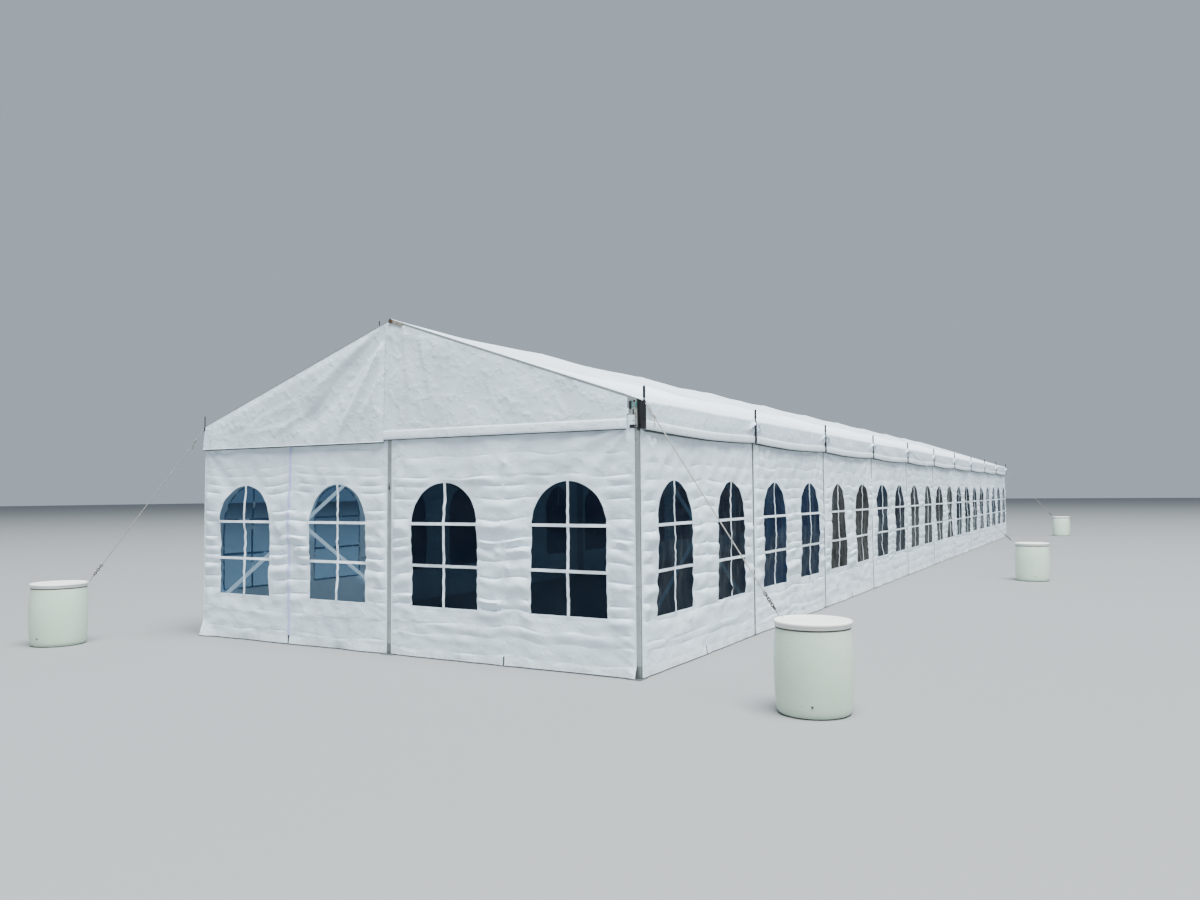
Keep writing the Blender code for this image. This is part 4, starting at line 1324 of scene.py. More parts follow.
# each broad fold of a half: its ends (across, height), depth, and width on either side
gableFolds = {
    "left": (
        ((-0.05, 3.50), (-1.30, 2.46), -0.050, 0.10, 0.15),
        ((-0.09, 3.34), (-0.70, 2.40), 0.034, 0.030, 0.07),
        ((-0.06, 3.06), (-0.38, 2.56), 0.016, 0.028, 0.05),
        ((-0.28, 3.42), (-1.25, 2.84), 0.009, 0.030, 0.06),
        ((-0.90, 2.92), (-1.35, 2.55), 0.008, 0.026, 0.05),
        ((-1.30, 2.62), (-1.75, 2.42), 0.010, 0.022, 0.045),
        ((-1.35, 2.80), (-1.95, 2.62), 0.007, 0.020, 0.045),
        ((-1.55, 2.50), (-2.15, 2.46), 0.008, 0.018, 0.04),
        ((-1.90, 2.66), (-2.30, 2.40), 0.007, 0.020, 0.04),
        ((-2.25, 2.58), (-2.70, 2.42), 0.006, 0.020, 0.04),
    ),
    "right": (
        ((0.20, 3.44), (0.30, 2.75), 0.008, 0.045, 0.06), ((0.42, 3.36), (0.62, 2.62), 0.006, 0.040, 0.06),
        ((0.72, 3.16), (0.58, 2.86), 0.005, 0.030, 0.04), ((1.05, 3.02), (0.82, 2.62), 0.005, 0.030, 0.05),
        ((1.30, 2.84), (1.44, 2.52), 0.004, 0.028, 0.04), ((1.75, 2.78), (1.55, 2.50), 0.004, 0.028, 0.04),
        ((2.10, 2.66), (2.24, 2.46), 0.004, 0.025, 0.04),
    ),
}


def topLine(across):
    return rafterRidge - abs(across) * math.tan(roofAngle) - gableLook["inset"]


def ridged(noise, points):
    return 1 - np.minimum(np.abs(noise(points)) * 1.5, 1.0)


def gableField(seed, half, mirrored):
    # points are (distance along the wall, height); across is measured from the post
    look = gableLook
    dice = random.Random(seed)
    broad = softNoise(dice.random(), 0.9, 0.7, 6)
    ridges = [softNoise(dice.random(), size, size * 0.8, 6) for size in (0.42, 0.30, 0.24)]
    fine = [softNoise(dice.random(), size, size, 6) for size in (0.15, 0.12)]
    patch = softNoise(dice.random(), 0.8, 0.8, 6)

    def out(points):
        across = (points[:, 0] - halfSpan) * (-1 if mirrored else 1)
        z = points[:, 1]
        line = rafterRidge - np.abs(across) * math.tan(roofAngle) - look["inset"]
        bottom = look["bottom"] if half == "right" else look["leftBottom"]
        below = np.clip((line - z) / (line - bottom), 0, 1)
        side = np.minimum(look["side"] - np.abs(across), np.abs(across - look["seam"]))
        free = smoothStep((line - z) / 0.10) * (0.25 + 0.75 * smoothStep(side / 0.08))
        share = np.clip(0.6 + 0.6 * patch(points), 0.1, 1.4)
        rough = sum(look["crumple"] * ridged(noise, points) for noise in ridges) / 1.6
        rough = rough + sum(look["fineCrumple"] * ridged(noise, points) for noise in fine) / 1.4
        total = free * (share * rough + 0.005 * broad(points))
        for first, last, depth, sharp, soft in gableFolds[half]:
            along, gap, length = besideLine(across, z, first, last)
            gap = gap + 0.012 * broad(points)
            widening = 0.55 + 0.6 * np.clip(along / length, 0, 1)
            width = np.where(gap > 0, sharp, soft) * widening
            reach = min(0.35, length * 0.4)
            ends = smoothStep(along / 0.12 + 0.5) * smoothStep((length - along) / reach + 0.3)
            total += free * depth * ends * hump(gap, width)
        if half == "left":
            total += look["belly"] * free
            nearSeam = np.exp(-np.abs(across - look["seam"]) / 0.06)
            total += 0.003 * nearSeam * np.sin(2 * math.pi * z / 0.065) * smoothStep((line - z) / 0.2)
        return np.maximum(total + look["lean"] * below, -0.003) - 0.0015
    return out


def dressGable(wallName, mirrored, step, seed):
    look = gableLook
    wall = walls[wallName]
    place = placeOnWall(wall)
    turn = -1 if mirrored else 1
    end = "far" if mirrored else "near"
    for half in ("right", "left"):
        bottom = look["bottom"] if half == "right" else look["leftBottom"]
        sign = 1 if half == "right" else -1
        inner, outer = look["seam"] + 0.0008 * sign, look["side"] * sign
        if half == "left" and not mirrored:
            outer = -look["nearLeftSide"]
        corners = [(inner, bottom), (outer, bottom), (outer, topLine(outer)), (inner, topLine(inner))]
        if half == "right":
            corners.insert(3, (0.0, topLine(0.0)))
        loop = [(halfSpan + turn * across, z) for across, z in corners]
        if (half == "left") != mirrored:
            loop.reverse()
        surface = clothSurface(place, gableField(seed + len(half), half, mirrored))
        shells = [sheetShell(flatPattern(loop, [], step), surface, tent["clothThickness"], "gable_white")]
        low, high = sorted((halfSpan + turn * (inner + 0.002 * sign),
                            halfSpan + turn * (outer - 0.004 * sign)))
        if half == "right":
            path = np.linspace(low, high, 72)
            shells.append(hemShell(surface, path, bottom + look["hemHalf"] - 0.003, look, 1, False))
            middle = halfSpan + turn * (inner + look["flapHalf"])
            seam = straightPath((middle, bottom + 0.10), (middle, topLine(0.0) - 0.03), 0.03)
            shells.append(ribbonShell(seam, look["flapHalf"] * 0.9, surface, seatGap, 0.0012, "gable_white"))
        else:
            shells.append(beadShell(straightPath((low, bottom + 0.004), (high, bottom + 0.004), 0.03),
                                    surface, look["beadRadius"]))
        # painted shade: a dark strip peeking below the hem
        edge = straightPath((low, bottom - 0.003), (high, bottom - 0.003), 0.06)
        shells.append(ribbonShell(edge, 0.009, surface, -0.0085, 0.003, "edge_dark"))
        piece = makePiece(f"{end}_gable_cloth_{half}", shells)
        putOnFrame(piece, "wall_fabric", f"{end}_gable_top")
    print(wallName, "top dressed")


dressGable("near_gable", False, gableLook["step"]["near"], 611)
dressGable("far_gable", True, gableLook["step"]["far"], 653)


# Geometry Nodes: a laid rope along a path, and parts set out on points

def newTree(name, inputs):
    tree = bpy.data.node_groups.new(name, "GeometryNodeTree")
    tree.interface.new_socket("Geometry", in_out="INPUT", socket_type="NodeSocketGeometry")
    for label, kind, value in inputs:
        socket = tree.interface.new_socket(label, in_out="INPUT", socket_type=kind)
        if value is not None:
            socket.default_value = value
    tree.interface.new_socket("Geometry", in_out="OUTPUT", socket_type="NodeSocketGeometry")
    return tree, tree.nodes.new("NodeGroupInput").outputs


def vectorNode(tree, operation, *values, scale=None):
    inputs = dict(enumerate(values))
    if scale is not None:
        inputs["Scale"] = scale
    return addNode(tree, "ShaderNodeVectorMath", inputs, operation=operation).outputs[0]


def finishTree(tree, geometry, finish):
    realized = addNode(tree, "GeometryNodeRealizeInstances", {"Geometry": geometry}).outputs[0]
    coated = addNode(tree, "GeometryNodeSetMaterial", {"Geometry": realized, "Material": finish}).outputs[0]
    tree.links.new(coated, tree.nodes.new("NodeGroupOutput").inputs[0])


def ropeTree():
    tree, given = newTree("laidRope", (
        ("Strand Radius", "NodeSocketFloat", 0.0032), ("Strand Offset", "NodeSocketFloat", 0.0034),
        ("Lay Length", "NodeSocketFloat", 0.036), ("Step", "NodeSocketFloat", 0.0105),
        ("Sides", "NodeSocketInt", 5), ("Finish", "NodeSocketMaterial", None),
    ))
    path = addNode(tree, "GeometryNodeMeshToCurve", {"Mesh": given["Geometry"]}).outputs[0]
    path = addNode(tree, "GeometryNodeResampleCurve", {"Curve": path, "Length": given["Step"]}, mode="LENGTH")
    along = tree.nodes.new("GeometryNodeInputTangent").outputs[0]
    normal = tree.nodes.new("GeometryNodeInputNormal").outputs["Normal"]
    sideways = vectorNode(tree, "CROSS_PRODUCT", along, normal)
    length = tree.nodes.new("GeometryNodeSplineParameter").outputs["Length"]
    turned = mathNode(tree, "MULTIPLY", mathNode(tree, "DIVIDE", length, given["Lay Length"]), 2 * math.pi)
    section = addNode(tree, "GeometryNodeCurvePrimitiveCircle", {
        "Resolution": given["Sides"], "Radius": given["Strand Radius"]}).outputs["Curve"]
    join = tree.nodes.new("GeometryNodeJoinGeometry")
    for strand in range(3):
        angle = mathNode(tree, "ADD", turned, strand * 2 * math.pi / 3)
        first = vectorNode(tree, "SCALE", normal, scale=mathNode(tree, "COSINE", angle))
        second = vectorNode(tree, "SCALE", sideways, scale=mathNode(tree, "SINE", angle))
        across = vectorNode(tree, "ADD", first, second)
        offset = vectorNode(tree, "SCALE", across, scale=given["Strand Offset"])
        moved = addNode(tree, "GeometryNodeSetPosition", {"Geometry": path.outputs[0], "Offset": offset})
        made = addNode(tree, "GeometryNodeCurveToMesh", {
            "Curve": moved.outputs[0], "Profile Curve": section, "Fill Caps": True})
        tree.links.new(made.outputs[0], join.inputs[0])
    finishTree(tree, join.outputs[0], given["Finish"])
    return tree


def scatterTree():
    tree, given = newTree("partsOnPoints", (
        ("Part", "NodeSocketObject", None), ("Size", "NodeSocketFloat", 1.0),
        ("Finish", "NodeSocketMaterial", None),
    ))
    part = addNode(tree, "GeometryNodeObjectInfo", {"Object": given["Part"]}).outputs["Geometry"]
    turn = addNode(tree, "GeometryNodeInputNamedAttribute", {"Name": "turn"}, data_type="FLOAT_VECTOR")
    rotation = addNode(tree, "FunctionNodeEulerToRotation", {"Euler": turn.outputs[0]}).outputs[0]
    placed = addNode(tree, "GeometryNodeInstanceOnPoints", {
        "Points": given["Geometry"], "Instance": part, "Rotation": rotation, "Scale": given["Size"]})
    finishTree(tree, placed.outputs[0], given["Finish"])
    return tree


trees = {"rope": ropeTree(), "scatter": scatterTree()}


def grow(name, mesh, tree, values, smoothAngle=40.0):
    holder = addObject(f"{name}_source", mesh)
    modifier = holder.modifiers.new("grow", "NODES")
    modifier.node_group = tree
    for item in tree.interface.items_tree:
        if item.in_out == "INPUT" and item.name in values:
            modifier[item.identifier] = values[item.name]
    bpy.context.view_layer.update()
    grown = bpy.data.meshes.new_from_object(holder.evaluated_get(bpy.context.evaluated_depsgraph_get()))
    bpy.data.objects.remove(holder)
    grown.name = name
    grown.shade_smooth()
    grown.set_sharp_from_angle(angle=math.radians(smoothAngle))
    return grown


def scatterParts(name, part, spots, finish, smoothAngle=40.0):
    # spots are (place, turn) with the turn as three Euler angles
    mesh = bpy.data.meshes.new(f"{name}_spots")
    mesh.from_pydata([tuple(place) for place, _ in spots], [], [])
    layer = mesh.attributes.new("turn", "FLOAT_VECTOR", "POINT")
    layer.data.foreach_set("vector", np.array([tuple(turn) for _, turn in spots], np.float32).ravel())
    return grow(name, mesh, trees["scatter"], {"Part": part, "Finish": finishes[finish]}, smoothAngle)


def partObject(name, shells):
    part = makePiece(name, shells)
    bpy.context.scene.collection.objects.unlink(part)
    return part


def joinMeshes(name, meshes):
    piece = bpy.data.objects.new(name, bpy.data.meshes.new(name))
    bm = bmesh.new()
    materials = []
    for mesh in meshes:
        shift = []
        for material in mesh.materials:
            if material not in materials:
                materials.append(material)
            shift.append(materials.index(material))
        first = len(bm.faces)
        bm.from_mesh(mesh)
        bm.faces.ensure_lookup_table()
        for face in bm.faces[first:]:
            face.material_index = shift[face.material_index] if shift else 0
    bm.to_mesh(piece.data)
    bm.free()
    for material in materials:
        piece.data.materials.append(material)
    bpy.context.scene.collection.objects.link(piece)
    return piece


def turnedShell(profile, sides, finish, middle=(0.0, 0.0, 0.0), start=0.0):
    angles = start + np.arange(sides) * 2 * math.pi / sides
    rings = []
    for radius, height in profile:
        level = np.full(sides, height)
        rings.append(np.column_stack((radius * np.cos(angles), radius * np.sin(angles), level)))
    return sweptShell(np.array(rings) + np.array(middle), finish)


def boxShell(low, high, finish, bevel=0.001, turn=None, middle=(0.0, 0.0, 0.0)):
    bm = bmesh.new()
    bmesh.ops.create_cube(bm, size=1.0)
    for vertex in bm.verts:
        vertex.co = [low[axis] + (high[axis] - low[axis]) * (vertex.co[axis] + 0.5) for axis in range(3)]
    if bevel:
        bmesh.ops.bevel(bm, geom=bm.edges[:], offset=bevel, segments=2, profile=0.5, affect="EDGES")
    if turn is not None:
        bmesh.ops.rotate(bm, cent=(0, 0, 0), matrix=turn, verts=bm.verts[:])
    bm.verts.index_update()
    places = np.array([vertex.co[:] for vertex in bm.verts]) + np.array(middle)
    faces = [tuple(vertex.index for vertex in face.verts) for face in bm.faces]
    bm.free()
    return {"places": places, "faces": faces, "flat": places[:, :2], "finish": finish}


# Drums: bulged plastic barrels with a rolled lid and a dark ring of painted shade below it

drumLook = {
    "sides": 60, "plugTurn": -76.0, "plugOut": 0.2925, "plugHeight": 0.100,
    "plug": ((0.0090, 0.0), (0.0090, 0.0035), (0.0075, 0.0050), (0.0040, 0.0045)),
    "body": ((0.235, 0.0), (0.255, 0.0015), (0.268, 0.006), (0.278, 0.015), (0.284, 0.028), (0.288, 0.045),
             (0.2915, 0.075), (0.2955, 0.12), (0.2995, 0.18), (0.3025, 0.25), (0.3040, 0.32), (0.3042, 0.39),
             (0.3030, 0.45), (0.3005, 0.51), (0.2965, 0.565), (0.2925, 0.61), (0.2890, 0.640),
             (0.2868, 0.652), (0.2830, 0.6570), (0.2760, 0.6585)),
    # dark ring of painted shade in the gap between body and lid
    "gapShadeRing": ((0.255, 0.651), (0.2875, 0.6512), (0.2895, 0.6535), (0.2898, 0.6590), (0.2885, 0.6622),
             (0.255, 0.663)),
    "lid": ((0.262, 0.6625), (0.2885, 0.6625), (0.2912, 0.6632), (0.2925, 0.6655), (0.2942, 0.6800),
            (0.2950, 0.6850), (0.2965, 0.6868), (0.2990, 0.6885), (0.3003, 0.6920), (0.3005, 0.6990),
            (0.2995, 0.7050), (0.2965, 0.7088), (0.2920, 0.7100), (0.2870, 0.7096), (0.2835, 0.7075),
            (0.2815, 0.7045), (0.2780, 0.7030), (0.2600, 0.7036), (0.20, 0.7052), (0.12, 0.7064),
            (0.04, 0.7069)),
}


def buildDrum(guy):
    low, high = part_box(f"ballast_drum_{guy}")
    middle = ((low.x + high.x) / 2, (low.y + high.y) / 2, 0.0)
    look = drumLook
    shells = [turnedShell(look["body"], look["sides"], "drum_green", middle),
              turnedShell(look["gapShadeRing"], look["sides"], "seal_dark", middle),
              turnedShell(look["lid"], look["sides"], "lid_white", middle)]
    turn = math.radians(look["plugTurn"])
    outward = Vector((math.cos(turn), math.sin(turn), 0.0))
    plug = turnedShell(look["plug"], 20, "seal_dark")
    facing = np.array(outward.to_track_quat("Z", "Y").to_matrix())
    spot = Vector(middle) + outward * look["plugOut"] + Vector((0, 0, look["plugHeight"]))
    plug["places"] = plug["places"] @ facing.T + np.array(spot)
    shells.append(plug)
    piece = makePiece(f"drum_{guy}", shells, 50.0)
    putOnFrame(piece, "drum_plastic", f"ballast_drum_{guy}")


# Guy ropes: doubled below the eave, knotted, then single down to a short chain hooked on the lid

guyLook = {
    "loop": 0.0055, "doubled": 0.165, "knotRadius": 0.0085, "knotPitch": 0.0095,
    "knotTurns": 4, "chainKnotTurns": 3, "chain": 0.24, "wire": 0.0040, "linkLength": 0.036,
    "linkWidth": 0.0120, "hookDrop": 0.105, "hookRadius": 0.0024,
}


def ringAround(point, side, up, radius, count=8):
    turns = [2 * math.pi * index / count for index in range(count)]
    return [point + (side * math.cos(turn) + up * math.sin(turn)) * radius for turn in turns]


def linkPart(look):
    wide = look["linkWidth"]
    straight = look["linkLength"] / 2 - wide
    path = []
    for index in range(20):
        angle = 2 * math.pi * index / 20
        shift = straight if math.cos(angle) > 0 else -straight
        path.append(Vector((shift + wide * math.cos(angle), wide * math.sin(angle), 0)))
    rings = []
    for index, point in enumerate(path):
        run = (path[(index + 1) % 20] - path[index - 1]).normalized()
        side = run.cross(Vector((0, 0, 1)))
        rings.append(ringAround(point, side, Vector((0, 0, 1)), look["wire"]))
    flat = np.zeros((len(path) * 8, 2))
    return partObject("chain_link", [sweptShell(np.array(rings), "chain_rust", True, flat)])


def addPath(places, edges, points):
    first = len(places)
    places += [tuple(point) for point in points]
    edges += [(first + index, first + index + 1) for index in range(len(points) - 1)]


def ropePath(start, run, side, upward, chainTop):
    # points and edges of the doubled top, the knots, the single rope and its loose end
    look = guyLook
    knot = look["doubled"]
    places, edges = [], []

    def coil(ahead, turns):
        # the rope wound round itself
        points = []
        for index in range(turns * 12 + 1):
            angle = math.pi * index / 6
            middle = start + run * (ahead + look["knotPitch"] * index / 12)
            points.append(middle + (side * math.cos(angle) + upward * math.sin(angle)) * look["knotRadius"])
        return points

    loop = [start + run * knot + side * look["loop"] * 0.5]
    loop += [start + run * (0.012 + further) + side * look["loop"] for further in (0.0, 0.02)]
    for index in range(7):
        angle = math.pi * index / 6
        loop.append(start + run * (0.012 - 0.007 * math.sin(angle)) + side * look["loop"] * math.cos(angle))
    loop += [start + run * 0.03 - side * look["loop"], start + run * knot - side * look["loop"] * 0.5]
    addPath(places, edges, loop)
    addPath(places, edges, [start + run * (knot - 0.01), start + run * (knot + 0.03), start + run * chainTop])
    addPath(places, edges, coil(knot - 0.012, look["knotTurns"]))
    tail = [start + run * (knot + 0.02) + side * 0.010]
    for share in (0.3, 0.6, 1.0):
        tail.append(tail[0] + run * 0.05 * share + side * 0.02 * share - Vector((0, 0, 0.05 * share * share)))
    addPath(places, edges, tail)
    addPath(places, edges, coil(chainTop - 0.03, look["chainKnotTurns"]))
    return places, edges


def buildGuy(guy, link):
    look = guyLook
    low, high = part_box(f"guy_rope_{guy}")
    east, north = (1 if "right" in guy else -1), (1 if "far" in guy else -1)
    start = Vector((low.x if east > 0 else high.x, low.y if north > 0 else high.y, high.z))
    end = Vector((high.x if east > 0 else low.x, high.y if north > 0 else low.y, low.z))
    run = (end - start).normalized()
    side = run.cross(Vector((0, 0, 1))).normalized()
    chainTop = (end - start).length - look["chain"]
    places, edges = ropePath(start, run, side, side.cross(run), chainTop)
    mesh = bpy.data.meshes.new(f"{guy}_path")
    mesh.from_pydata(places, edges, [])
    rope = grow(f"{guy}_rope", mesh, trees["rope"], {"Finish": finishes["rope_grey"]}, 80.0)
    pitch = look["linkLength"] - 2.4 * look["wire"]
    count = int((look["chain"] - look["hookDrop"] + 0.030) / pitch)
    spots = []
    for index in range(count):
        turn = run.to_track_quat("X", "Z").to_matrix() @ Matrix.Rotation(math.pi / 2 * (index % 2), 3, "X")
        spots.append((end - run * (look["hookDrop"] + pitch * index), turn.to_euler()))
    chain = scatterParts(f"{guy}_chain", link, spots, "chain_rust")
    hook = hookMesh(guy, end, run)
    piece = joinMeshes(f"guy_{guy}", [rope, chain, hook])
    putOnFrame(piece, "guy_rope", f"guy_rope_{guy}")


def hookMesh(guy, end, run):
    # bent rod from the last link over the lid's rim
    level = Vector((run.x, run.y, 0)).normalized()
    drop, radius = guyLook["hookDrop"], guyLook["hookRadius"]
    points = [end - run * (drop + 0.010), end - run * (drop * 0.55) - Vector((0, 0, 0.004)),
              end - run * 0.014, end + Vector((0, 0, 0.004)),
              end + Vector((0, 0, 0.0215)) + level * 0.001,
              end + Vector((0, 0, 0.0235)) + level * 0.012, end + Vector((0, 0, 0.0195)) + level * 0.022]
    side = run.cross(Vector((0, 0, 1))).normalized()
    rings = []
    for index, point in enumerate(points):
        before, after = points[max(index - 1, 0)], points[min(index + 1, len(points) - 1)]
        up = side.cross((after - before).normalized())
        rings.append(ringAround(point, side, up, radius))
    hook = partObject(f"{guy}_hook", [sweptShell(np.array(rings), "chain_rust")])
    return hook.data


guyNames = ("near_right", "near_left", "mid_right", "mid_left", "far_right", "far_left")


def buildGuys():
    link = linkPart(guyLook)
    for guy in guyNames:
        buildDrum(guy)
        buildGuy(guy, link)
    print("guys built:", len(guyNames))


buildGuys()


# Grooved rails on legs, posts and rafters, with the cloth's beads held beside them

railLook = {
    "halfWidth": 0.0165, "postHalf": 0.026, "lift": 0.0035, "sideLift": 0.0095, "groove": 0.0040,
    "legFoot": 0.125, "legTop": 2.286, "postFoot": 0.02, "postTop": 2.40, "eaveGap": 0.03, "ridgeGap": 0.012,
    "boltAcross": 0.010, "boltHeight": 0.0065, "boltOut": 0.0062, "washer": 0.009,
    # height of each bolt of a shoe, and its shift along the tent
    "bolts": ((0.035, -0.012), (0.095, 0.012)),
}


def metalPiece(name, shells, smoothAngle=30.0):
    putOnFrame(makePiece(name, shells, smoothAngle), "frame_aluminium")


def railProfile(wide, lift):
    groove = railLook["groove"]
    return ((-wide, seatGap), (-wide, lift), (-groove * 2.2, lift), (-groove * 1.8, lift * 0.35),
            (-groove, lift * 0.35), (-groove * 0.6, lift), (groove * 0.6, lift), (groove, lift * 0.35),
            (groove * 1.8, lift * 0.35), (groove * 2.2, lift), (wide, lift), (wide, seatGap))


def railShell(start, end, outward, wide, finish="rail_metal", lift=railLook["lift"]):
    start, end, outward = Vector(start), Vector(end), Vector(outward)
    side = outward.cross((end - start).normalized())
    rings = []
    for place in (start, end):
        rings.append([place + side * across + outward * out for across, out in railProfile(wide, lift)])
    return sweptShell(np.array(rings)[:, ::-1], finish)


def boltPart(look):
    washer = [(look["washer"], 0.0), (look["washer"], 0.0014), (look["washer"] * 0.9, 0.0016)]
    head = [(look["boltAcross"] * 0.62, 0.0012), (look["boltAcross"] * 0.62, look["boltHeight"] - 0.001),
            (look["boltAcross"] * 0.52, look["boltHeight"])]
    return partObject("hex_bolt", [turnedShell(washer, 20, "zinc_plate"), turnedShell(head, 6, "zinc_plate")])


def dressFrame():
    look = railLook
    shells = []
    bolts = []
    for along in archLine[1:-1]:
        for side in (1, -1):
            face = side * halfSpan
            shells.append(railShell((face, along, look["legFoot"]), (face, along, look["legTop"]),
                                    (side, 0, 0), look["halfWidth"], lift=look["sideLift"]))
            slope = Vector((side * math.sin(roofAngle), 0, math.cos(roofAngle)))
            foot, ridge = (Vector((side * across, along, rafterRidge - across * math.tan(roofAngle)))
                           for across in (halfSpan - look["eaveGap"], look["ridgeGap"]))
            shells.append(railShell(foot, ridge, slope, look["halfWidth"]))
            turn = (0.0, side * math.pi / 2, 0.0)
            for height, shift in look["bolts"]:
                bolts.append(((side * (halfSpan + look["boltOut"]), along + shift, height), turn))
    for end in (-1, 1):
        face = end * halfLength
        shells.append(railShell((0, face, look["postFoot"]), (0, face, look["postTop"]), (0, end, 0),
                                look["postHalf"], "leg_metal"))
    metalPiece("frame_rails", shells)
    grown = scatterParts("frame_bolts", boltPart(look), bolts, "zinc_plate", 30.0)
    putOnFrame(joinMeshes("frame_bolts", [grown]), "frame_aluminium")
    print("rails and bolts:", len(shells), len(bolts))


dressFrame()


# Small metal: knee plates and dark knuckles at the eaves, ridge brackets, a rod, a latch, the zip

hardwareLook = {
    "knuckle": {"out": (3.0065, 3.0610), "half": 0.0215, "height": (2.290, 2.548)},
    "sleeve": {"out": 3.050, "radius": 0.0125, "height": (2.575, 2.684)},
    "knee": {
        "across": (2.926, 2.990), "top": 2.492, "bottom": 2.300, "widens": 0.010, "thick": 0.005,
        "cornerCut": 0.004,
        # low and high corner, bevel, finish, then place outwards, forwards and up
        "blocks": (
            ((-0.006, -0.0016, -0.055), (0.006, 0.0016, 0.055), 0.0008, "dark_steel", (-0.004, 0.0, 2.415)),
            ((-0.026, -0.008, -0.030), (0.026, 0.008, 0.030), 0.003, "bolt_teal", (0.010, 0.004, 2.522)),
            ((-0.012, -0.006, -0.042), (0.012, 0.006, 0.034), 0.003, "dark_steel", (-0.034, 0.0, 2.518)),
            ((-0.040, -0.010, -0.020), (0.052, 0.010, 0.012), 0.003, "dark_steel", (0.0, 0.0, 2.318)),
        ),
        # radius, height and finish of each bolt head, then its place
        "bolts": (
            (0.012, 0.010, "dark_steel", (0.016, 0.012, 2.545)),
            (0.010, 0.009, "bolt_teal", (0.004, 0.012, 2.512)),
            (0.010, 0.009, "dark_steel", (0.030, 0.010, 2.318)),
        ),
    },
    "ridge": {"length": 0.190, "half": 0.021, "thick": 0.014, "from": -0.004},
    "rod": {"across": -0.165, "radius": 0.0055, "height": 0.062},
    "latch": {"across": -0.004, "height": 1.79},
    "zip": {"gap": 0.0085, "tooth": (0.0075, 0.0022, 0.0042), "tab": (0.010, 0.030)},
}


def hexHead(middle, turn, radius, height, finish):
    # head and washer of a bolt whose shank points along the turned Z axis
    shells = []
    for profile, sides, name in (
            (((radius * 1.5, 0.0), (radius * 1.5, 0.0016), (radius * 1.4, 0.0020)), 24, "zinc_plate"),
            (((radius, 0.0015), (radius, height - 0.001), (radius * 0.85, height)), 6, finish)):
        shell = turnedShell(profile, sides, name)
        shell["places"] = shell["places"] @ np.array(turn).T + np.array(middle)
        shells.append(shell)
    return shells


def outOfGable(end):
    # turns the Z axis to point out of that gable
    return Matrix(((1, 0, 0), (0, 0, end), (0, -end, 0)))


def kneePlate(side, end):
    look = hardwareLook["knee"]
    face = end * (halfLength + 0.0006)
    low, high = look["across"]
    wider = look["widens"]
    corners = [(low - wider, look["bottom"]), (high + wider * 0.6, look["bottom"]),
               (high, look["top"]), (low, look["top"])]
    outline = []
    for index, corner in enumerate(corners):
        for other in (corners[index - 1], corners[(index + 1) % 4]):
            run = np.array(other) - corner
            outline.append(tuple(np.array(corner) + run / np.linalg.norm(run) * look["cornerCut"]))
    centre = np.mean(outline, axis=0)
    rings = []
    for depth, inset in ((0.0, 0.0), (look["thick"] - 0.001, 0.0), (look["thick"], 0.001)):
        insets = [np.array(point) + np.sign(centre - point) * inset for point in outline]
        rings.append([(side * x, face + end * depth, z) for x, z in insets])
    rings = np.array(rings)
    shells = [sweptShell(rings[:, ::-1] if side * end < 0 else rings, "zinc_plate")]
    outward = outOfGable(end)
    front = face + end * look["thick"]
    middle = side * (low + high) / 2
    for lowCorner, highCorner, bevel, finish, (out, ahead, height) in look["blocks"]:
        shells.append(boxShell(lowCorner, highCorner, finish, bevel,
                               middle=(middle + side * out, front + end * ahead, height)))
    for radius, tall, finish, (out, ahead, height) in look["bolts"]:
        shells += hexHead((middle + side * out, front + end * ahead, height), outward, radius, tall, finish)
    return shells


def ridgeBracket(end):
    # folded strap beside the apex, lying along the right-hand rafter, with a stained end
    look = hardwareLook["ridge"]
    tilt = Matrix.Rotation(roofAngle, 3, "Y")
    rise = look["half"] / math.cos(roofAngle)
    along = Vector((math.cos(roofAngle), 0, -math.sin(roofAngle)))
    face = end * (halfLength + 0.012)
    start = Vector((look["from"], face, rafterRidge - rise + 0.006))
    middle = start + along * look["length"] / 2
    half = look["length"] / 2
    shells = [boxShell((-half, -look["thick"] / 2, -look["half"]), (half, look["thick"] / 2, look["half"]),
                       "rusty_zinc", 0.004, turn=tilt, middle=middle)]
    shells.append(boxShell((-0.022, -0.010, -0.023), (0.022, 0.010, 0.023), "chain_rust", 0.004,
                           turn=tilt, middle=start + along * 0.018))
    outward = outOfGable(end)
    for share in (0.42, 0.85):
        spot = start + along * look["length"] * share + Vector((0, end * look["thick"] / 2, 0))
        shells += hexHead(spot, outward, 0.008, 0.006, "zinc_plate")
    return shells


def cornerPieces():
    for end, endName in ((-1, "near"), (1, "far")):
        for side, sideName in ((1, "right"), (-1, "left")):
            if (endName, sideName) == ("near", "left"):
                continue
            metalPiece(f"{endName}_{sideName}_knee_plate", kneePlate(side, end))
        metalPiece(f"{endName}_ridge_bracket", ridgeBracket(end))
    look = hardwareLook["rod"]
    foot = rafterRidge + look["across"] * math.tan(roofAngle)
    place = (look["across"], -halfLength + 0.008, foot - 0.01)
    radius, tall = look["radius"], look["height"]
    profile = ((radius, 0.0), (radius, tall), (radius * 0.7, tall + 0.004))
    rod = turnedShell(profile, 16, "dark_steel", place)
    metalPiece("near_ridge_rod", [rod], 40.0)


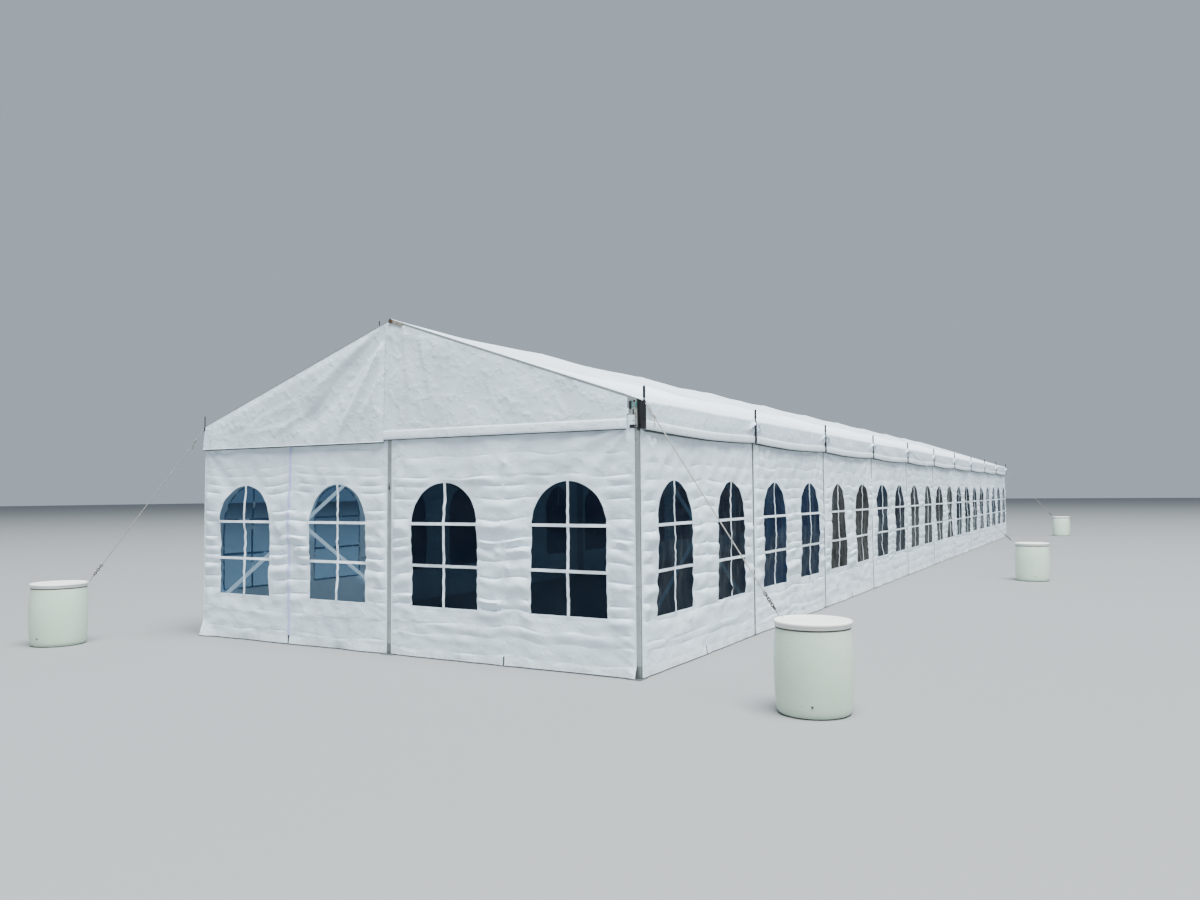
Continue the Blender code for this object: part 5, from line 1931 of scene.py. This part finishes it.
def knuckles():
    look, sleeve = hardwareLook["knuckle"], hardwareLook["sleeve"]
    shells = []
    for along in archLine:
        for side in (1, -1):
            if along == archLine[0] and side < 0:
                continue
            low, high = look["out"]
            half = look["half"]
            bottom, top = look["height"]
            thick = (high - low) / 2
            shells.append(boxShell((-thick, -half, bottom), (thick, half, top), "dark_steel", 0.003,
                                   middle=(side * (low + high) / 2, along, 0)))
            foot, tip = sleeve["height"]
            radius = sleeve["radius"]
            profile = ((radius, foot), (radius, tip - 0.004), (radius * 0.7, tip))
            shells.append(turnedShell(profile, 16, "dark_steel", (side * sleeve["out"], along, 0.0)))
    metalPiece("eave_knuckles", shells)


def latch():
    look = hardwareLook["latch"]
    face = -halfLength - railLook["lift"]
    shells = [boxShell((-0.007, -0.006, -0.034), (0.007, 0.0, 0.030), "dark_steel", 0.0015,
                       middle=(look["across"], face, look["height"]))]
    spot = (look["across"], face - 0.006, look["height"] + 0.014)
    shells += hexHead(spot, outOfGable(-1), 0.007, 0.006, "dark_steel")
    metalPiece("near_post_latch", shells)


def zipTeeth(surface):
    look = hardwareLook["zip"]
    wide, thick, tall = look["tooth"]
    tooth = partObject("zip_tooth", [boxShell((-wide / 2, -thick, -tall / 2), (wide / 2, 0, tall / 2),
                                              "zip_tape", 0.0)])
    heights = np.arange(0.12, 2.27, look["gap"])
    places = surface(np.column_stack((np.full(len(heights), seamAt), heights)), 0.0012)
    turns = [(0.0, 0.0, 0.0)] * len(places)
    teeth = scatterParts("zip_teeth", tooth, list(zip(places, turns)), "zip_tape")
    spot = surface(np.array([(seamAt, 0.098)]), 0.004)[0]
    wide, tall = look["tab"]
    tab = makePiece("zip_tab", [
        boxShell((-wide, -0.003, -tall), (wide, 0.003, tall * 0.3), "dark_steel", 0.002, middle=spot)])
    piece = joinMeshes("near_gable_zip", [teeth, tab.data])
    bpy.data.objects.remove(tab)
    putOnFrame(piece, "wall_fabric")


cornerPieces()
knuckles()
latch()
zipTeeth(nearSurfaces[0])
print("small metal built")


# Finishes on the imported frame

def finishNodes():
    for name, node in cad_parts.items():
        if name.startswith("arch_frame") or "gable_post" in name:
            finish = finishes["leg_metal"]
        elif "purlin" in name or "brace" in name:
            finish = finishes["brace_zinc_painted_light"]
        else:
            continue
        node.data.materials.clear()
        node.data.materials.append(finish)


finishNodes()


# Floor, sky and soft lights

studio = {
    "floorSize": 400.0, "floorColour": (0.225, 0.23, 0.23),
    "skyColour": (0.52, 0.61, 0.70), "skyStrength": 0.74,
    "topLight": {"size": (48.0, 48.0), "place": (20.0, -26.0, 74.0), "aim": (0.0, 0.0, 0.0),
                 "power": 285000.0, "colour": (0.93, 0.98, 1.0)},
    # daylight that the white roof lets through
    "roofGlow": {"size": (5.0, 29.0), "place": (0.0, 0.0, 3.05), "aim": (0.0, 0.0, 0.0),
                 "power": 620.0, "colour": (1.0, 0.98, 0.94)},
}


def areaLight(name, look):
    data = bpy.data.lights.new(name, "AREA")
    data.shape = "RECTANGLE"
    data.size, data.size_y = look["size"]
    data.energy = look["power"]
    data.color = look["colour"]
    light = addObject(name, data)
    light.location = look["place"]
    light.rotation_euler = (Vector(look["aim"]) - Vector(look["place"])).to_track_quat("-Z", "Y").to_euler()
    light.visible_camera = light.visible_glossy = False


def buildStudio(look):
    half = look["floorSize"] / 2
    mesh = bpy.data.meshes.new("floor")
    corners = [(-half, -half, 0), (half, -half, 0), (half, half, 0), (-half, half, 0)]
    mesh.from_pydata(corners, [], [(0, 1, 2, 3)])
    floor = addObject("floor", mesh)
    material, tree, shader = newFinish("floor_paint")
    setInputs(tree, shader, {"Base Color": (*look["floorColour"], 1.0), "Roughness": 0.85})
    mesh.materials.append(material)
    world = bpy.data.worlds.new("studio")
    world.use_nodes = True
    background = world.node_tree.nodes["Background"]
    background.inputs["Color"].default_value = (*look["skyColour"], 1.0)
    background.inputs["Strength"].default_value = look["skyStrength"]
    bpy.context.scene.world = world
    for name in ("topLight", "roofGlow"):
        areaLight(name, look[name])


buildStudio(studio)
print("studio lit")
